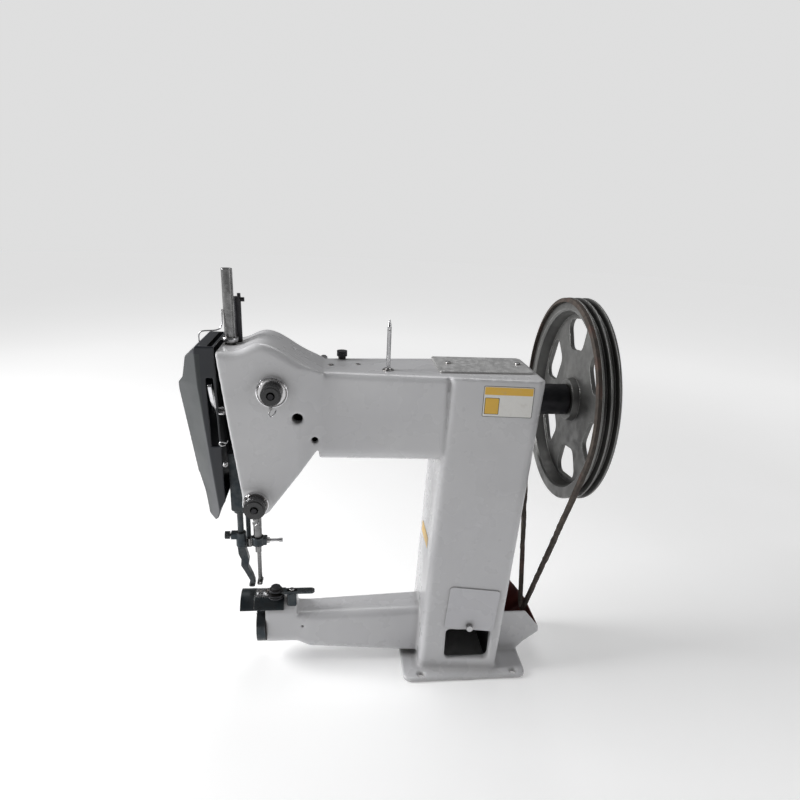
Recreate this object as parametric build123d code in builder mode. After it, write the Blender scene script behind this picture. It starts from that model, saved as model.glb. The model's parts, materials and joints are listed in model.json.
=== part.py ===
from build123d import *
from math import acos, atan2, cos, degrees, pi, radians, sin, sqrt
import os

# Cylinder-arm leather sewing machine, in millimetres.
# Origin: centre of the four base bolts, on the underside of the base. +Z is up,
# +X runs from the sewing head towards the handwheel, -Y faces the operator.

# ---------------------------------------------------------------- driving dimensions
HEAD_X = -360.0                   # datum of the sewing head
NEEDLE_X = HEAD_X - 3.5           # needle bar axis
NEEDLE_Y = 0.0
PRESSER_X = HEAD_X - 31.0         # outer presser bar axis
VIBRATOR_X = HEAD_X - 21.0        # inner, vibrating presser bar axis
VIBRATOR_Y = 17.0
SHAFT_Z = 492.0                   # main shaft axis above the table
LOWER_Z = 70.5                    # lower shaft axis above the table
TOP_Z = 541.7                     # top of the upper arm
SPLIT_Z = 395.0                   # joint between column and arm casting
CRANK_THROW = 27.0                # half the needle bar stroke
LINK_LENGTH = 110.0
ECCENTRIC_THROW = 9.0
ECCENTRIC_RADIUS = 21.0
ROCKER_LENGTH = 11.3
WHEEL_RADIUS = 162.8
WHEEL_NEAR_X = 130.5
WHEEL_WIDTH = 30.5
BASE_LENGTH = 220.0
BASE_DEPTH = 182.8
BASE_THICKNESS = 9.0
BOLT_SPACING_X = 166.0
BOLT_SPACING_Y = 160.0
BOLT_HOLE_RADIUS = 5.5
RUNNING_FIT = 0.05                # radial clearance of a shaft in its bore
SHAFT_RADIUS = 11.0
LOWER_SHAFT_RADIUS = 7.0
NEEDLE_BAR_RADIUS = 7.0
PRESSER_BAR_RADIUS = 5.0
PRESSER_TUBE_RADIUS = 8.0
VIBRATOR_TUBE_RADIUS = 5.6
FRONT_Y = -60.0                   # front face of the head
COLUMN_CORNER = 12.0
FACE_SLOPE = 0.085                # taper of the arm's and column's front and back
SCREW_RADIUS = 2.4
TOP_COVER_THICKNESS = 3.2
TOP_SCREW_XS = (-57.0, 57.0)
TOP_SCREW_Y = 13.6
LUG_THICKNESS = 2.5
COVER_LUGS = ((HEAD_X - 22.0, 540.0), (HEAD_X - 16.0, 486.0))
DOOR_PIVOT_X = -3.0
DOOR_PIVOT_Z = 102.0
DOOR_SCREW_RADIUS = 3.0
DOOR_SCREW_DEPTH = 16.0

os.makedirs("parts", exist_ok=True)


# ---------------------------------------------------------------- helpers
def half_depth(x):
    """Half the depth of arm and column, which taper towards the head."""
    return 41.0 + FACE_SLOPE * (x - HEAD_X)


def facing_x(x, y=0.0, z=0.0):
    """Plane across the machine: local x is +Y, local y is +Z, normal is +X."""
    return Plane(origin=(x, y, z), x_dir=(0, 1, 0), z_dir=(1, 0, 0))


def facing_front(x, y, z):
    """Plane towards the operator: local x is +X, local y is +Z, normal is -Y."""
    return Plane(origin=(x, y, z), x_dir=(1, 0, 0), z_dir=(0, -1, 0))


def facing_back(x, y, z):
    """Plane away from the operator: local x is -X, local y is +Z, normal is +Y."""
    return Plane(origin=(x, y, z), x_dir=(-1, 0, 0), z_dir=(0, 1, 0))


def column_face(x, z, proud=0.0, tilt=0.0):
    """Plane on the slanting front of the column, or a little in front of it."""
    normal = Vector(-FACE_SLOPE, -1, 0).normalized()
    along = Vector(1, -FACE_SLOPE, 0).normalized() * cos(radians(tilt)) + Vector(0, 0, sin(radians(tilt)))
    return Plane(origin=Vector(x, -half_depth(x), z) + normal * proud, x_dir=along, z_dir=normal)


def facing_up(x, y, z):
    """Level plane: local x is +X, local y is +Y, normal is +Z."""
    return Plane(origin=(x, y, z))


def disc(plane, radius, depth, mode=Mode.ADD):
    """Round solid of one radius standing on a plane."""
    with BuildSketch(plane) as face:
        Circle(radius)
    extrude(face.sketch, amount=depth, mode=mode)


def ring(plane, outer, inner, depth, mode=Mode.ADD):
    """Round sleeve standing on a plane."""
    with BuildSketch(plane) as face:
        Circle(outer)
        Circle(inner, mode=Mode.SUBTRACT)
    extrude(face.sketch, amount=depth, mode=mode)


def block(plane, width, height, depth, corner=0.0, mode=Mode.ADD):
    """Rectangular solid, with rounded corners if asked, standing on a plane."""
    with BuildSketch(plane) as face:
        if corner > 0:
            RectangleRounded(width, height, corner)
        else:
            Rectangle(width, height)
    extrude(face.sketch, amount=depth, mode=mode)


def slab(plane, points, depth, both=False, mode=Mode.ADD):
    """Solid of a straight-sided outline."""
    with BuildSketch(plane) as face:
        with BuildLine():
            Polyline(*points, close=True)
        make_face()
    extrude(face.sketch, amount=depth, both=both, mode=mode)


def link_plate(plane, start, end, width_start, width_end, depth, mode=Mode.ADD):
    """Flat link with two round ends, given by their centres and radii."""
    with BuildSketch(plane) as face:
        with Locations(start):
            Circle(width_start)
        with Locations(end):
            Circle(width_end)
        make_hull()
    extrude(face.sketch, amount=depth, mode=mode)


def knurled_disc(plane, radius, depth, teeth):
    """Round solid with fine grip flutes around its rim."""
    disc(plane, radius, depth)
    flute = 0.35 * pi * radius / teeth
    with BuildSketch(plane) as flutes:
        with PolarLocations(radius, teeth):
            Circle(flute)
    extrude(flutes.sketch, amount=depth, mode=Mode.SUBTRACT)


def column_section(z):
    """Plan of the column at one height, with rounded corners."""
    left = -86.3 + 0.035 * z
    right = 52.0 + 0.05 * z
    with BuildSketch(Plane.XY.offset(z)) as section:
        with BuildLine():
            Polyline((left, -half_depth(left)), (right, -half_depth(right)),
                     (right, half_depth(right)), (left, half_depth(left)), close=True)
        make_face()
        fillet(section.vertices(), COLUMN_CORNER)
    return section.sketch


def box_section(x, half, bottom, top, lower_corner, upper_corner):
    """Cross-section of an arm, with its own corner radii below and above."""
    with BuildSketch(Plane.YZ.offset(x)) as section:
        with Locations((0, (bottom + top) / 2)):
            Rectangle(2 * half, top - bottom)
        fillet(section.vertices().group_by(Axis.Y)[0], lower_corner)
        fillet(section.vertices().group_by(Axis.Y)[-1], upper_corner)
    return section.sketch


# ---------------------------------------------------------------- base and column
CAVITY_HALF = 59.0
DOOR_LEFT = -42.0
DOOR_RIGHT = 36.0
DOOR_BOTTOM = 31.0
DOOR_TOP = 92.0

with BuildPart() as base_column:
    block(facing_up(-5, 0, 0), BASE_LENGTH, BASE_DEPTH, BASE_THICKNESS, corner=16)
    chamfer(base_column.faces().sort_by(Axis.Z)[-1].edges(), 1.5)
    loft([column_section(BASE_THICKNESS - 0.5), column_section(SPLIT_Z)])
    # hollow for the drive, open to the table below and the arm above
    block(facing_up(-13, 0, -1), 110, 2 * CAVITY_HALF, SPLIT_Z + 2, corner=10, mode=Mode.SUBTRACT)
    # service opening in the front wall
    with BuildSketch(facing_front(0, -40, 0)) as service_opening:
        with Locations(((DOOR_LEFT + DOOR_RIGHT) / 2, (DOOR_BOTTOM + DOOR_TOP) / 2)):
            RectangleRounded(DOOR_RIGHT - DOOR_LEFT, DOOR_TOP - DOOR_BOTTOM, 8)
    extrude(service_opening.sketch, amount=60, mode=Mode.SUBTRACT)
    # window in the left wall for the lower shaft and the feed bar
    block(facing_x(-95, 3, 72), 40, 46, 35, corner=6, mode=Mode.SUBTRACT)
    with Locations((0, 0, BASE_THICKNESS)):
        with GridLocations(BOLT_SPACING_X, BOLT_SPACING_Y, 2, 2):
            CounterBoreHole(BOLT_HOLE_RADIUS, 8.0, 2.0, depth=BASE_THICKNESS)
    # tapped hole for the door screw
    disc(column_face(DOOR_PIVOT_X, DOOR_PIVOT_Z, -DOOR_SCREW_DEPTH), DOOR_SCREW_RADIUS, 30,
         mode=Mode.SUBTRACT)
    # two small jig holes in the flange
    for jig_x in (-58, 29):
        disc(facing_up(jig_x, -87.5, 3), 1.6, 10, mode=Mode.SUBTRACT)
    # way of the belt down through the base, beside the column
    block(facing_up(80, 30, -1), 34, 56, 12, corner=5, mode=Mode.SUBTRACT)
base_column.part.label = "base_column"
export_step(base_column.part, "parts/base_column.step")

# ---------------------------------------------------------------- arm casting with head
ARM_START_X = HEAD_X + 100.0
CHIN = ((HEAD_X + 24, 319), (HEAD_X + 5, 312.5), (HEAD_X - 14.5, 330))
UPPER_TENSION = (HEAD_X + 34, 515.0)
LOWER_TENSION = (HEAD_X + 4.4, 336.0)
REAR_SLEEVE_RADIUS = 25.0
FRONT_BUSH_RADIUS = 17.0

with BuildPart() as arm_casting:
    with BuildSketch(Plane.XZ) as head_outline:
        with BuildLine():
            crown_line = Spline((HEAD_X - 44, 571), (HEAD_X - 14, 572), (HEAD_X + 15, 583.5),
                                (HEAD_X + 49, 572), (HEAD_X + 106, 542),
                                tangents=((1, 0), (1, -0.4)))
            Polyline(crown_line @ 1, (HEAD_X + 106, 431), CHIN[0])
            ThreePointArc(*CHIN)
            Polyline(CHIN[2], (HEAD_X - 31.5, 462), (HEAD_X - 44, 571))
        make_face()
    extrude(head_outline.sketch, amount=-FRONT_Y, both=True)
    fillet(arm_casting.edges().filter_by(GeomType.BSPLINE), 10)
    with BuildSketch(Plane.XY.offset(300)) as head_plan:
        with BuildLine():
            Polyline((HEAD_X - 60, FRONT_Y), (HEAD_X + 72, FRONT_Y), (HEAD_X + 107, -49.9),
                     (HEAD_X + 107, 49.9), (HEAD_X + 72, -FRONT_Y), (HEAD_X - 60, -FRONT_Y), close=True)
        make_face()
    extrude(head_plan.sketch, amount=300, mode=Mode.INTERSECT)
    # the back of the head slopes in towards the needle bar
    slab(facing_x(HEAD_X - 70), [(60.5, 470), (70, 470), (70, 300), (50, 300), (50, 330)], 200,
         mode=Mode.SUBTRACT)
    loft([box_section(ARM_START_X, half_depth(ARM_START_X), 400, TOP_Z, 22, 10),
          box_section(-70, half_depth(-70), 404, TOP_Z, 22, 10)])
    loft([column_section(SPLIT_Z), column_section(TOP_Z)])
    # bosses of the two thread tensions, the presser tube and the shaft
    disc(facing_front(UPPER_TENSION[0], FRONT_Y + 2, UPPER_TENSION[1]), 23, 3.5)
    disc(facing_front(LOWER_TENSION[0], FRONT_Y + 2, LOWER_TENSION[1]), 21, 5)
    disc(facing_x(70, 0, SHAFT_Z), 33, 20)
    # head hollow, open to the left
    slab(facing_front(0, -44, 0),
         [(HEAD_X - 70, 340), (HEAD_X + 20, 340), (HEAD_X + 48, 372), (HEAD_X + 48, 546),
          (HEAD_X - 70, 546)], -88, mode=Mode.SUBTRACT)
    # tunnel through the arm and hollow of the column's head
    block(facing_x(HEAD_X + 66, 0, 476), 82, 106, 260, corner=8, mode=Mode.SUBTRACT)
    block(facing_up(-3, 0, SPLIT_Z - 1), 124, 2 * CAVITY_HALF, 137, corner=10, mode=Mode.SUBTRACT)
    # opening under the top cover
    block(facing_up(-1, 10, 520), 94, 68, 40, corner=10, mode=Mode.SUBTRACT)
    # tapped holes
    for screw_x in TOP_SCREW_XS:
        disc(facing_up(screw_x, TOP_SCREW_Y, TOP_Z - 8), SCREW_RADIUS, 20, mode=Mode.SUBTRACT)
    for lug_x, lug_z in COVER_LUGS:
        disc(facing_back(lug_x, 52, lug_z), SCREW_RADIUS, 20, mode=Mode.SUBTRACT)
    # bores
    disc(facing_x(HEAD_X + 40, 0, SHAFT_Z), FRONT_BUSH_RADIUS, 40, mode=Mode.SUBTRACT)
    disc(facing_x(50, 0, SHAFT_Z), REAR_SLEEVE_RADIUS, 60, mode=Mode.SUBTRACT)
    disc(facing_up(NEEDLE_X, 0, 300), 10, 60, mode=Mode.SUBTRACT)
    disc(facing_up(PRESSER_X, 0, 540), PRESSER_TUBE_RADIUS, 60, mode=Mode.SUBTRACT)
    disc(facing_up(VIBRATOR_X, VIBRATOR_Y, 540), VIBRATOR_TUBE_RADIUS, 60, mode=Mode.SUBTRACT)
    disc(facing_front(HEAD_X + 69, -35, 473), 8, 40, mode=Mode.SUBTRACT)
    disc(facing_front(HEAD_X + 94, -38, 437), 5, 40, mode=Mode.SUBTRACT)
    # small oil holes along the top
    for oil_x, oil_y in ((HEAD_X + 118, 0), (HEAD_X + 159.5, 4.6), (HEAD_X + 60, 12)):
        disc(facing_up(oil_x, oil_y, 520), 2.6, 80, mode=Mode.SUBTRACT)
arm_casting.part.label = "arm_casting"
export_step(arm_casting.part, "parts/arm_casting.step")

# ---------------------------------------------------------------- cylinder arm
NECK_START_X = HEAD_X + 6.0
NECK_RADIUS = 26.4
SADDLE_INNER = 26.5
SADDLE_OUTER = 30.0
SADDLE_Z = 104.0

with BuildPart() as cylinder_arm:
    loft([box_section(NECK_START_X, 27, 37, 112, 20, 8), box_section(HEAD_X + 60, 27, 37, 112, 20, 8)])
    loft([box_section(HEAD_X + 60, 27, 37, 102, 20, 10), box_section(HEAD_X + 82, 29, 28, 102, 18, 14)])
    loft([box_section(HEAD_X + 82, 29, 28, 102, 18, 14), box_section(-80, 33, 14, 109, 16, 14)])
    with BuildSketch(facing_x(NECK_START_X, 0, SADDLE_Z)) as crown:
        Circle(NECK_RADIUS)
    extrude(crown.sketch, amount=52)
    # trim where it meets the column
    with BuildPart(mode=Mode.PRIVATE) as column_solid:
        loft([column_section(0), column_section(SPLIT_Z)])
    add(column_solid.part, mode=Mode.SUBTRACT)
    block(facing_up(-60, 0, -1), 110, 100, BASE_THICKNESS + 1, mode=Mode.SUBTRACT)
    # hollow for the lower shaft and feed bar
    block(facing_x(HEAD_X + 45, 2, 71), 42, 46, 300, corner=6, mode=Mode.SUBTRACT)
    disc(facing_x(NECK_START_X - 1, 0, LOWER_Z), 12, 60, mode=Mode.SUBTRACT)
    # pocket of the feed dog under the needle plate, and the way of its bar
    block(facing_up(HEAD_X + 10, 4, 82), 16, 34, 60, mode=Mode.SUBTRACT)
    block(facing_x(HEAD_X + 10, 12, 88), 18, 12, 60, mode=Mode.SUBTRACT)
    disc(facing_front(HEAD_X + 70, -20, 77), 2.6, 20, mode=Mode.SUBTRACT)
cylinder_arm.part.label = "cylinder_arm"
export_step(cylinder_arm.part, "parts/cylinder_arm.step")

# ---------------------------------------------------------------- face cover on the left of the head
COVER_FRONT = 52.0
COVER_BACK = 60.0
COVER_WALL = 3.0


def cover_body(inset, mode=Mode.ADD):
    """Bulged cover: its side outline, cut by a plan that tapers downwards."""
    outline = [(-46 - inset, 577), (-71, 577 - inset), (-90 + inset, 559 - inset), (-97 + inset, 527),
               (-105 + inset, 517 - inset), (-105 + inset, 476), (-102 + inset, 440), (-95 + inset, 405),
               (-95 + inset, 383), (-85 + inset, 371), (-77 + inset, 342), (-73 + inset, 302 + inset),
               (-62 - inset, 295 + inset), (-56 - inset, 303 + inset), (-50 - inset, 322 + inset),
               (-43, 334 + inset)]
    outline = [(HEAD_X + x, z) for x, z in outline]
    with BuildPart(mode=Mode.PRIVATE) as side:
        slab(facing_front(0, COVER_BACK, 0), outline, COVER_FRONT + COVER_BACK)
    with BuildPart(mode=Mode.PRIVATE) as plan:
        sections = []
        for z, ridge, nose in ((290, -50, -75), (520, -72, -107), (580, -74, -107)):
            points = [(-30, -COVER_FRONT), (ridge, -COVER_FRONT), (nose, -22), (nose, 26),
                      (ridge, COVER_BACK), (-30, COVER_BACK)]
            points = [(HEAD_X + x + (inset if x < -31 else 0),
                       y + inset * (1 if y < 0 else -1)) for x, y in points]
            with BuildSketch(Plane.XY.offset(z)) as section:
                with BuildLine():
                    Polyline(*points, close=True)
                make_face()
            sections.append(section.sketch)
        loft(sections, ruled=True)
    return side.part & plan.part


with BuildPart() as face_cover:
    add(cover_body(0))
    add(cover_body(COVER_WALL), mode=Mode.SUBTRACT)
    # open side towards the head
    slab(facing_front(0, COVER_BACK - COVER_WALL, 0),
         [(HEAD_X - 52, 580 - 2 * COVER_WALL), (HEAD_X - 20, 580 - 2 * COVER_WALL), (HEAD_X - 20, 280),
          (HEAD_X - 43, 280)], COVER_FRONT + COVER_BACK - 2 * COVER_WALL, mode=Mode.SUBTRACT)
    # slot for the take-up lever
    slab(facing_front(0, -40, 0), [(HEAD_X - 60, 531), (HEAD_X - 50, 531), (HEAD_X - 46.5, 426),
                                   (HEAD_X - 58, 426)], 30, mode=Mode.SUBTRACT)
    # two lugs screwed to the back of the head
    for lug_x, lug_z in COVER_LUGS:
        block(facing_back(lug_x - 16, 60, lug_z), 50, 14, LUG_THICKNESS, corner=3)
        disc(facing_back(lug_x, 55, lug_z), SCREW_RADIUS + 0.2, 20, mode=Mode.SUBTRACT)
face_cover.part.label = "face_cover"
export_step(face_cover.part, "parts/face_cover.step")

# ---------------------------------------------------------------- bracket of the presser bars
with BuildPart() as presser_bracket:
    slab(facing_front(0, -19, 0), [(HEAD_X - 41, 300), (HEAD_X - 15.2, 300), (HEAD_X - 15.2, 333),
                                   (HEAD_X - 23.9, 400), (HEAD_X - 41, 400)], -46)
    fillet(presser_bracket.edges().filter_by(Axis.Y).group_by(Axis.Z)[0], 4)
    disc(facing_up(PRESSER_X, 0, 290), PRESSER_BAR_RADIUS + 4, 12)
    disc(facing_up(PRESSER_X, 0, 280), PRESSER_BAR_RADIUS + RUNNING_FIT, 130, mode=Mode.SUBTRACT)
    disc(facing_up(VIBRATOR_X, VIBRATOR_Y, 280), 4 + RUNNING_FIT, 130, mode=Mode.SUBTRACT)
    add(arm_casting.part, mode=Mode.SUBTRACT)
presser_bracket.part.label = "presser_bracket"
export_step(presser_bracket.part, "parts/presser_bracket.step")

# ---------------------------------------------------------------- bearings and bushings
SLEEVE_END_X = 140.0
with BuildPart() as rear_sleeve:
    ring(facing_x(62, 0, SHAFT_Z), REAR_SLEEVE_RADIUS, SHAFT_RADIUS + RUNNING_FIT, SLEEVE_END_X - 62)
    chamfer(rear_sleeve.faces().sort_by(Axis.X)[-1].edges(), 1.5)
rear_sleeve.part.label = "rear_sleeve"
export_step(rear_sleeve.part, "parts/rear_sleeve.step")

with BuildPart() as shaft_bushings:
    ring(facing_x(HEAD_X + 48, 0, SHAFT_Z), FRONT_BUSH_RADIUS, SHAFT_RADIUS + RUNNING_FIT, 18)
    ring(facing_x(NECK_START_X, 0, LOWER_Z), 12, LOWER_SHAFT_RADIUS + RUNNING_FIT, 36)
    ring(facing_up(NEEDLE_X, 0, 306), 10, NEEDLE_BAR_RADIUS + RUNNING_FIT, 34)
shaft_bushings.part.label = "shaft_bushings"
export_step(shaft_bushings.part, "parts/shaft_bushings.step")

with BuildPart() as lower_rear_bearing:
    block(facing_x(-76, 0, 70.5), 2 * CAVITY_HALF - 1, 30, 8)
    disc(facing_x(-68, 0, LOWER_Z), 14, 14)
    block(facing_x(-76, 12, 88), 17, 11.5, 8.1, mode=Mode.SUBTRACT)
    disc(facing_x(-80, 0, LOWER_Z), LOWER_SHAFT_RADIUS + RUNNING_FIT, 40, mode=Mode.SUBTRACT)
    add(base_column.part, mode=Mode.SUBTRACT)
lower_rear_bearing.part.label = "lower_rear_bearing"
export_step(lower_rear_bearing.part, "parts/lower_rear_bearing.step")

# ---------------------------------------------------------------- main shaft and what turns with it
CRANK_X = HEAD_X + 20.0
ECCENTRIC_X = -18.0
WHEEL_HUB_X = SLEEVE_END_X + 0.5
WHEEL_FAR_X = WHEEL_NEAR_X + WHEEL_WIDTH
SHAFT_END_X = WHEEL_HUB_X + 44.0

with BuildPart() as main_shaft:
    disc(facing_x(CRANK_X + 2, 0, SHAFT_Z), SHAFT_RADIUS, SHAFT_END_X - CRANK_X - 2)
    chamfer(main_shaft.edges().sort_by(Axis.X)[-1], 1.5)
    ring(facing_x(HEAD_X + 66.5, 0, SHAFT_Z), 16, SHAFT_RADIUS - 0.5, 10)
    ring(facing_x(50.5, 0, SHAFT_Z), 18, SHAFT_RADIUS - 0.5, 11)
main_shaft.part.label = "main_shaft"
export_step(main_shaft.part, "parts/main_shaft.step")

with BuildPart() as needle_crank:
    with BuildSketch(facing_x(CRANK_X + 2, 0, SHAFT_Z)) as web:
        with Locations((0, CRANK_THROW)):
            Circle(11)
        Circle(21)
        with Locations((0, -16)):
            Circle(21)
        make_hull()
    extrude(web.sketch, amount=11)
    disc(facing_x(CRANK_X + 13, 0, SHAFT_Z), 19, 13)
    disc(facing_x(CRANK_X + 1, 0, SHAFT_Z), SHAFT_RADIUS, 40, mode=Mode.SUBTRACT)
    disc(facing_x(CRANK_X - 12, 0, SHAFT_Z + CRANK_THROW), 6, 14.5)
needle_crank.part.label = "needle_crank"
export_step(needle_crank.part, "parts/needle_crank.step")

with BuildPart() as drive_eccentric:
    disc(facing_x(ECCENTRIC_X - 7, 0, SHAFT_Z + ECCENTRIC_THROW), ECCENTRIC_RADIUS, 14)
    disc(facing_x(ECCENTRIC_X + 7, 0, SHAFT_Z), 18, 10)
    disc(facing_x(ECCENTRIC_X - 8, 0, SHAFT_Z), SHAFT_RADIUS, 40, mode=Mode.SUBTRACT)
drive_eccentric.part.label = "drive_eccentric"
export_step(drive_eccentric.part, "parts/drive_eccentric.step")

GROOVE_XS = (WHEEL_NEAR_X + 9.0, WHEEL_NEAR_X + 21.5)
GROOVE_HALF = 5.2
GROOVE_DEPTH = 9.0
WEB_NEAR_X = 151.0
WEB_THICKNESS = 7.0
HUB_RADIUS = 33.0
WINDOW_COUNT = 6
WINDOW_START = 82.5                # degrees from the back to the first window
WINDOW_DISTANCE = 105.0

with BuildPart() as handwheel:
    with BuildSketch(Plane.XZ) as wheel_profile:
        with BuildLine():
            points = [(WHEEL_HUB_X, SHAFT_RADIUS), (WHEEL_HUB_X, HUB_RADIUS), (WEB_NEAR_X, HUB_RADIUS + 3),
                      (WEB_NEAR_X, 138), (WHEEL_NEAR_X + 3, 142), (WHEEL_NEAR_X, 145),
                      (WHEEL_NEAR_X, WHEEL_RADIUS - 1.5), (WHEEL_NEAR_X + 1.5, WHEEL_RADIUS)]
            for groove_x in GROOVE_XS:
                points += [(groove_x - GROOVE_HALF, WHEEL_RADIUS),
                           (groove_x - GROOVE_HALF + 2.6, WHEEL_RADIUS - GROOVE_DEPTH),
                           (groove_x + GROOVE_HALF - 2.6, WHEEL_RADIUS - GROOVE_DEPTH),
                           (groove_x + GROOVE_HALF, WHEEL_RADIUS)]
            points += [(WHEEL_FAR_X - 1.5, WHEEL_RADIUS), (WHEEL_FAR_X, WHEEL_RADIUS - 1.5),
                       (WHEEL_FAR_X, 143), (WEB_NEAR_X + WEB_THICKNESS, 140),
                       (WEB_NEAR_X + WEB_THICKNESS, HUB_RADIUS + 3), (WHEEL_HUB_X + 30, HUB_RADIUS),
                       (WHEEL_HUB_X + 30, SHAFT_RADIUS)]
            Polyline(*[(x, SHAFT_Z + r) for x, r in points], close=True)
        make_face()
    revolve(axis=Axis((0, 0, SHAFT_Z), (1, 0, 0)))
    # six lightening windows, wider at the rim than at the hub
    with BuildSketch(facing_x(WEB_NEAR_X - 2, 0, SHAFT_Z)) as windows:
        with PolarLocations(0, WINDOW_COUNT, start_angle=WINDOW_START):
            with Locations((WINDOW_DISTANCE, 0)):
                Trapezoid(88, 50, 68, rotation=90)
        fillet(windows.vertices(), 15)
    extrude(windows.sketch, amount=WEB_THICKNESS + 4, mode=Mode.SUBTRACT)
    # set screw in the hub
    disc(facing_up(WHEEL_HUB_X + 22, 0, SHAFT_Z + 20), 3, 20, mode=Mode.SUBTRACT)
handwheel.part.label = "handwheel"
export_step(handwheel.part, "parts/handwheel.step")

with BuildPart() as wheel_nut:
    with BuildSketch(facing_x(WHEEL_HUB_X + 30, 0, SHAFT_Z)):
        RegularPolygon(19, 6)
        Circle(SHAFT_RADIUS, mode=Mode.SUBTRACT)
    extrude(amount=11)
wheel_nut.part.label = "wheel_nut"
export_step(wheel_nut.part, "parts/wheel_nut.step")

# crank link, hanging from the crank pin down to the needle bar stud
LINK_X = HEAD_X + 10.0
with BuildPart() as crank_link:
    link_plate(facing_x(LINK_X, 0, SHAFT_Z + CRANK_THROW), (0, 0), (0, -LINK_LENGTH), 11, 9, 8)
    disc(facing_x(LINK_X - 1, 0, SHAFT_Z + CRANK_THROW), 6 + RUNNING_FIT, 10, mode=Mode.SUBTRACT)
    disc(facing_x(LINK_X - 1, 0, SHAFT_Z + CRANK_THROW - LINK_LENGTH), 4.5, 10, mode=Mode.SUBTRACT)
crank_link.part.label = "crank_link"
export_step(crank_link.part, "parts/crank_link.step")

# drive rod, from the eccentric down to the rocker of the lower shaft
ROCKER_ANGLE = 53.0
PIN_Y = ROCKER_LENGTH * cos(radians(ROCKER_ANGLE))
PIN_Z = LOWER_Z + ROCKER_LENGTH * sin(radians(ROCKER_ANGLE))
ROD_TOP_Z = SHAFT_Z + ECCENTRIC_THROW
ROCKER_X = ECCENTRIC_X - 14.6     # the rocker stands just left of the rod
with BuildPart() as drive_rod:
    link_plate(facing_x(ECCENTRIC_X - 5, 0, 0), (0, ROD_TOP_Z - 22), (PIN_Y, PIN_Z + 8), 9, 7, 10)
    disc(facing_x(ECCENTRIC_X - 6, 0, ROD_TOP_Z), ECCENTRIC_RADIUS + 6, 12)
    disc(facing_x(ECCENTRIC_X - 5, PIN_Y, PIN_Z), 9, 10)
    disc(facing_x(ECCENTRIC_X - 7, 0, ROD_TOP_Z), ECCENTRIC_RADIUS + RUNNING_FIT, 14, mode=Mode.SUBTRACT)
    disc(facing_x(ECCENTRIC_X - 7, PIN_Y, PIN_Z), 4, 14, mode=Mode.SUBTRACT)
drive_rod.part.label = "drive_rod"
export_step(drive_rod.part, "parts/drive_rod.step")

# ---------------------------------------------------------------- needle bar group
NEEDLE_TIP_Z = 152.5
CLAMP_Z = 228.0
STUD_Z = SHAFT_Z + CRANK_THROW - LINK_LENGTH

with BuildPart() as needle_bar:
    disc(facing_up(NEEDLE_X, 0, CLAMP_Z), NEEDLE_BAR_RADIUS, 195)
    chamfer(needle_bar.edges().group_by(Axis.Z)[-1], 1)
    disc(facing_up(NEEDLE_X, 0, CLAMP_Z - 14), 5.2, 14)
    disc(facing_up(NEEDLE_X, 0, CLAMP_Z - 15), 1.6, 30, mode=Mode.SUBTRACT)
needle_bar.part.label = "needle_bar"
export_step(needle_bar.part, "parts/needle_bar.step")

with BuildPart() as needle_bar_collar:
    disc(facing_up(NEEDLE_X, 0, STUD_Z - 9), 11, 18)
    disc(facing_up(NEEDLE_X, 0, STUD_Z - 10), NEEDLE_BAR_RADIUS, 20, mode=Mode.SUBTRACT)
    disc(facing_x(NEEDLE_X + 9, 0, STUD_Z), 4.3, LINK_X - 0.5 - NEEDLE_X - 9)
needle_bar_collar.part.label = "needle_bar_collar"
export_step(needle_bar_collar.part, "parts/needle_bar_collar.step")

with BuildPart() as needle_clamp:
    disc(facing_up(NEEDLE_X, 0, CLAMP_Z), 10.5, 15)
    block(facing_front(NEEDLE_X + 9, 7, CLAMP_Z + 7.5), 12, 12, 14, corner=2)
    chamfer(needle_clamp.edges().group_by(Axis.Z)[-1], 1)
    disc(facing_up(NEEDLE_X, 0, CLAMP_Z - 1), NEEDLE_BAR_RADIUS, 30, mode=Mode.SUBTRACT)
    disc(facing_x(NEEDLE_X + 5, 0, CLAMP_Z + 7.5), 2.5, 20, mode=Mode.SUBTRACT)
needle_clamp.part.label = "needle_clamp"
export_step(needle_clamp.part, "parts/needle_clamp.step")

with BuildPart() as clamp_screw:
    disc(facing_x(NEEDLE_X + 8, 0, CLAMP_Z + 7.5), 2.5, 30)
    disc(facing_x(NEEDLE_X + 15.2, 0, CLAMP_Z + 7.5), 5, 4)
    disc(facing_x(NEEDLE_X + 35, 0, CLAMP_Z + 7.5), 3.4, 6)
clamp_screw.part.label = "clamp_screw"
export_step(clamp_screw.part, "parts/clamp_screw.step")

with BuildPart() as needle:
    disc(facing_up(NEEDLE_X, 0, 180), 1.6, 48)
    with BuildSketch(Plane.XZ) as blade:
        with BuildLine():
            Polyline((NEEDLE_X, NEEDLE_TIP_Z), (NEEDLE_X + 1.25, NEEDLE_TIP_Z + 6), (NEEDLE_X + 1.25, 179),
                     (NEEDLE_X + 1.6, 181), (NEEDLE_X, 181), close=True)
        make_face()
    revolve(axis=Axis((NEEDLE_X, 0, 0), (0, 0, 1)))
    disc(facing_front(NEEDLE_X, 4, NEEDLE_TIP_Z + 10), 0.55, 8, mode=Mode.SUBTRACT)
needle.part.label = "needle"
export_step(needle.part, "parts/needle.step")

# ---------------------------------------------------------------- outer presser foot
with BuildPart() as presser_bar:
    disc(facing_up(PRESSER_X, 0, 226), PRESSER_BAR_RADIUS, 374)
    chamfer(presser_bar.edges().group_by(Axis.Z)[-1], 1)
presser_bar.part.label = "presser_bar"
export_step(presser_bar.part, "parts/presser_bar.step")

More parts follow.
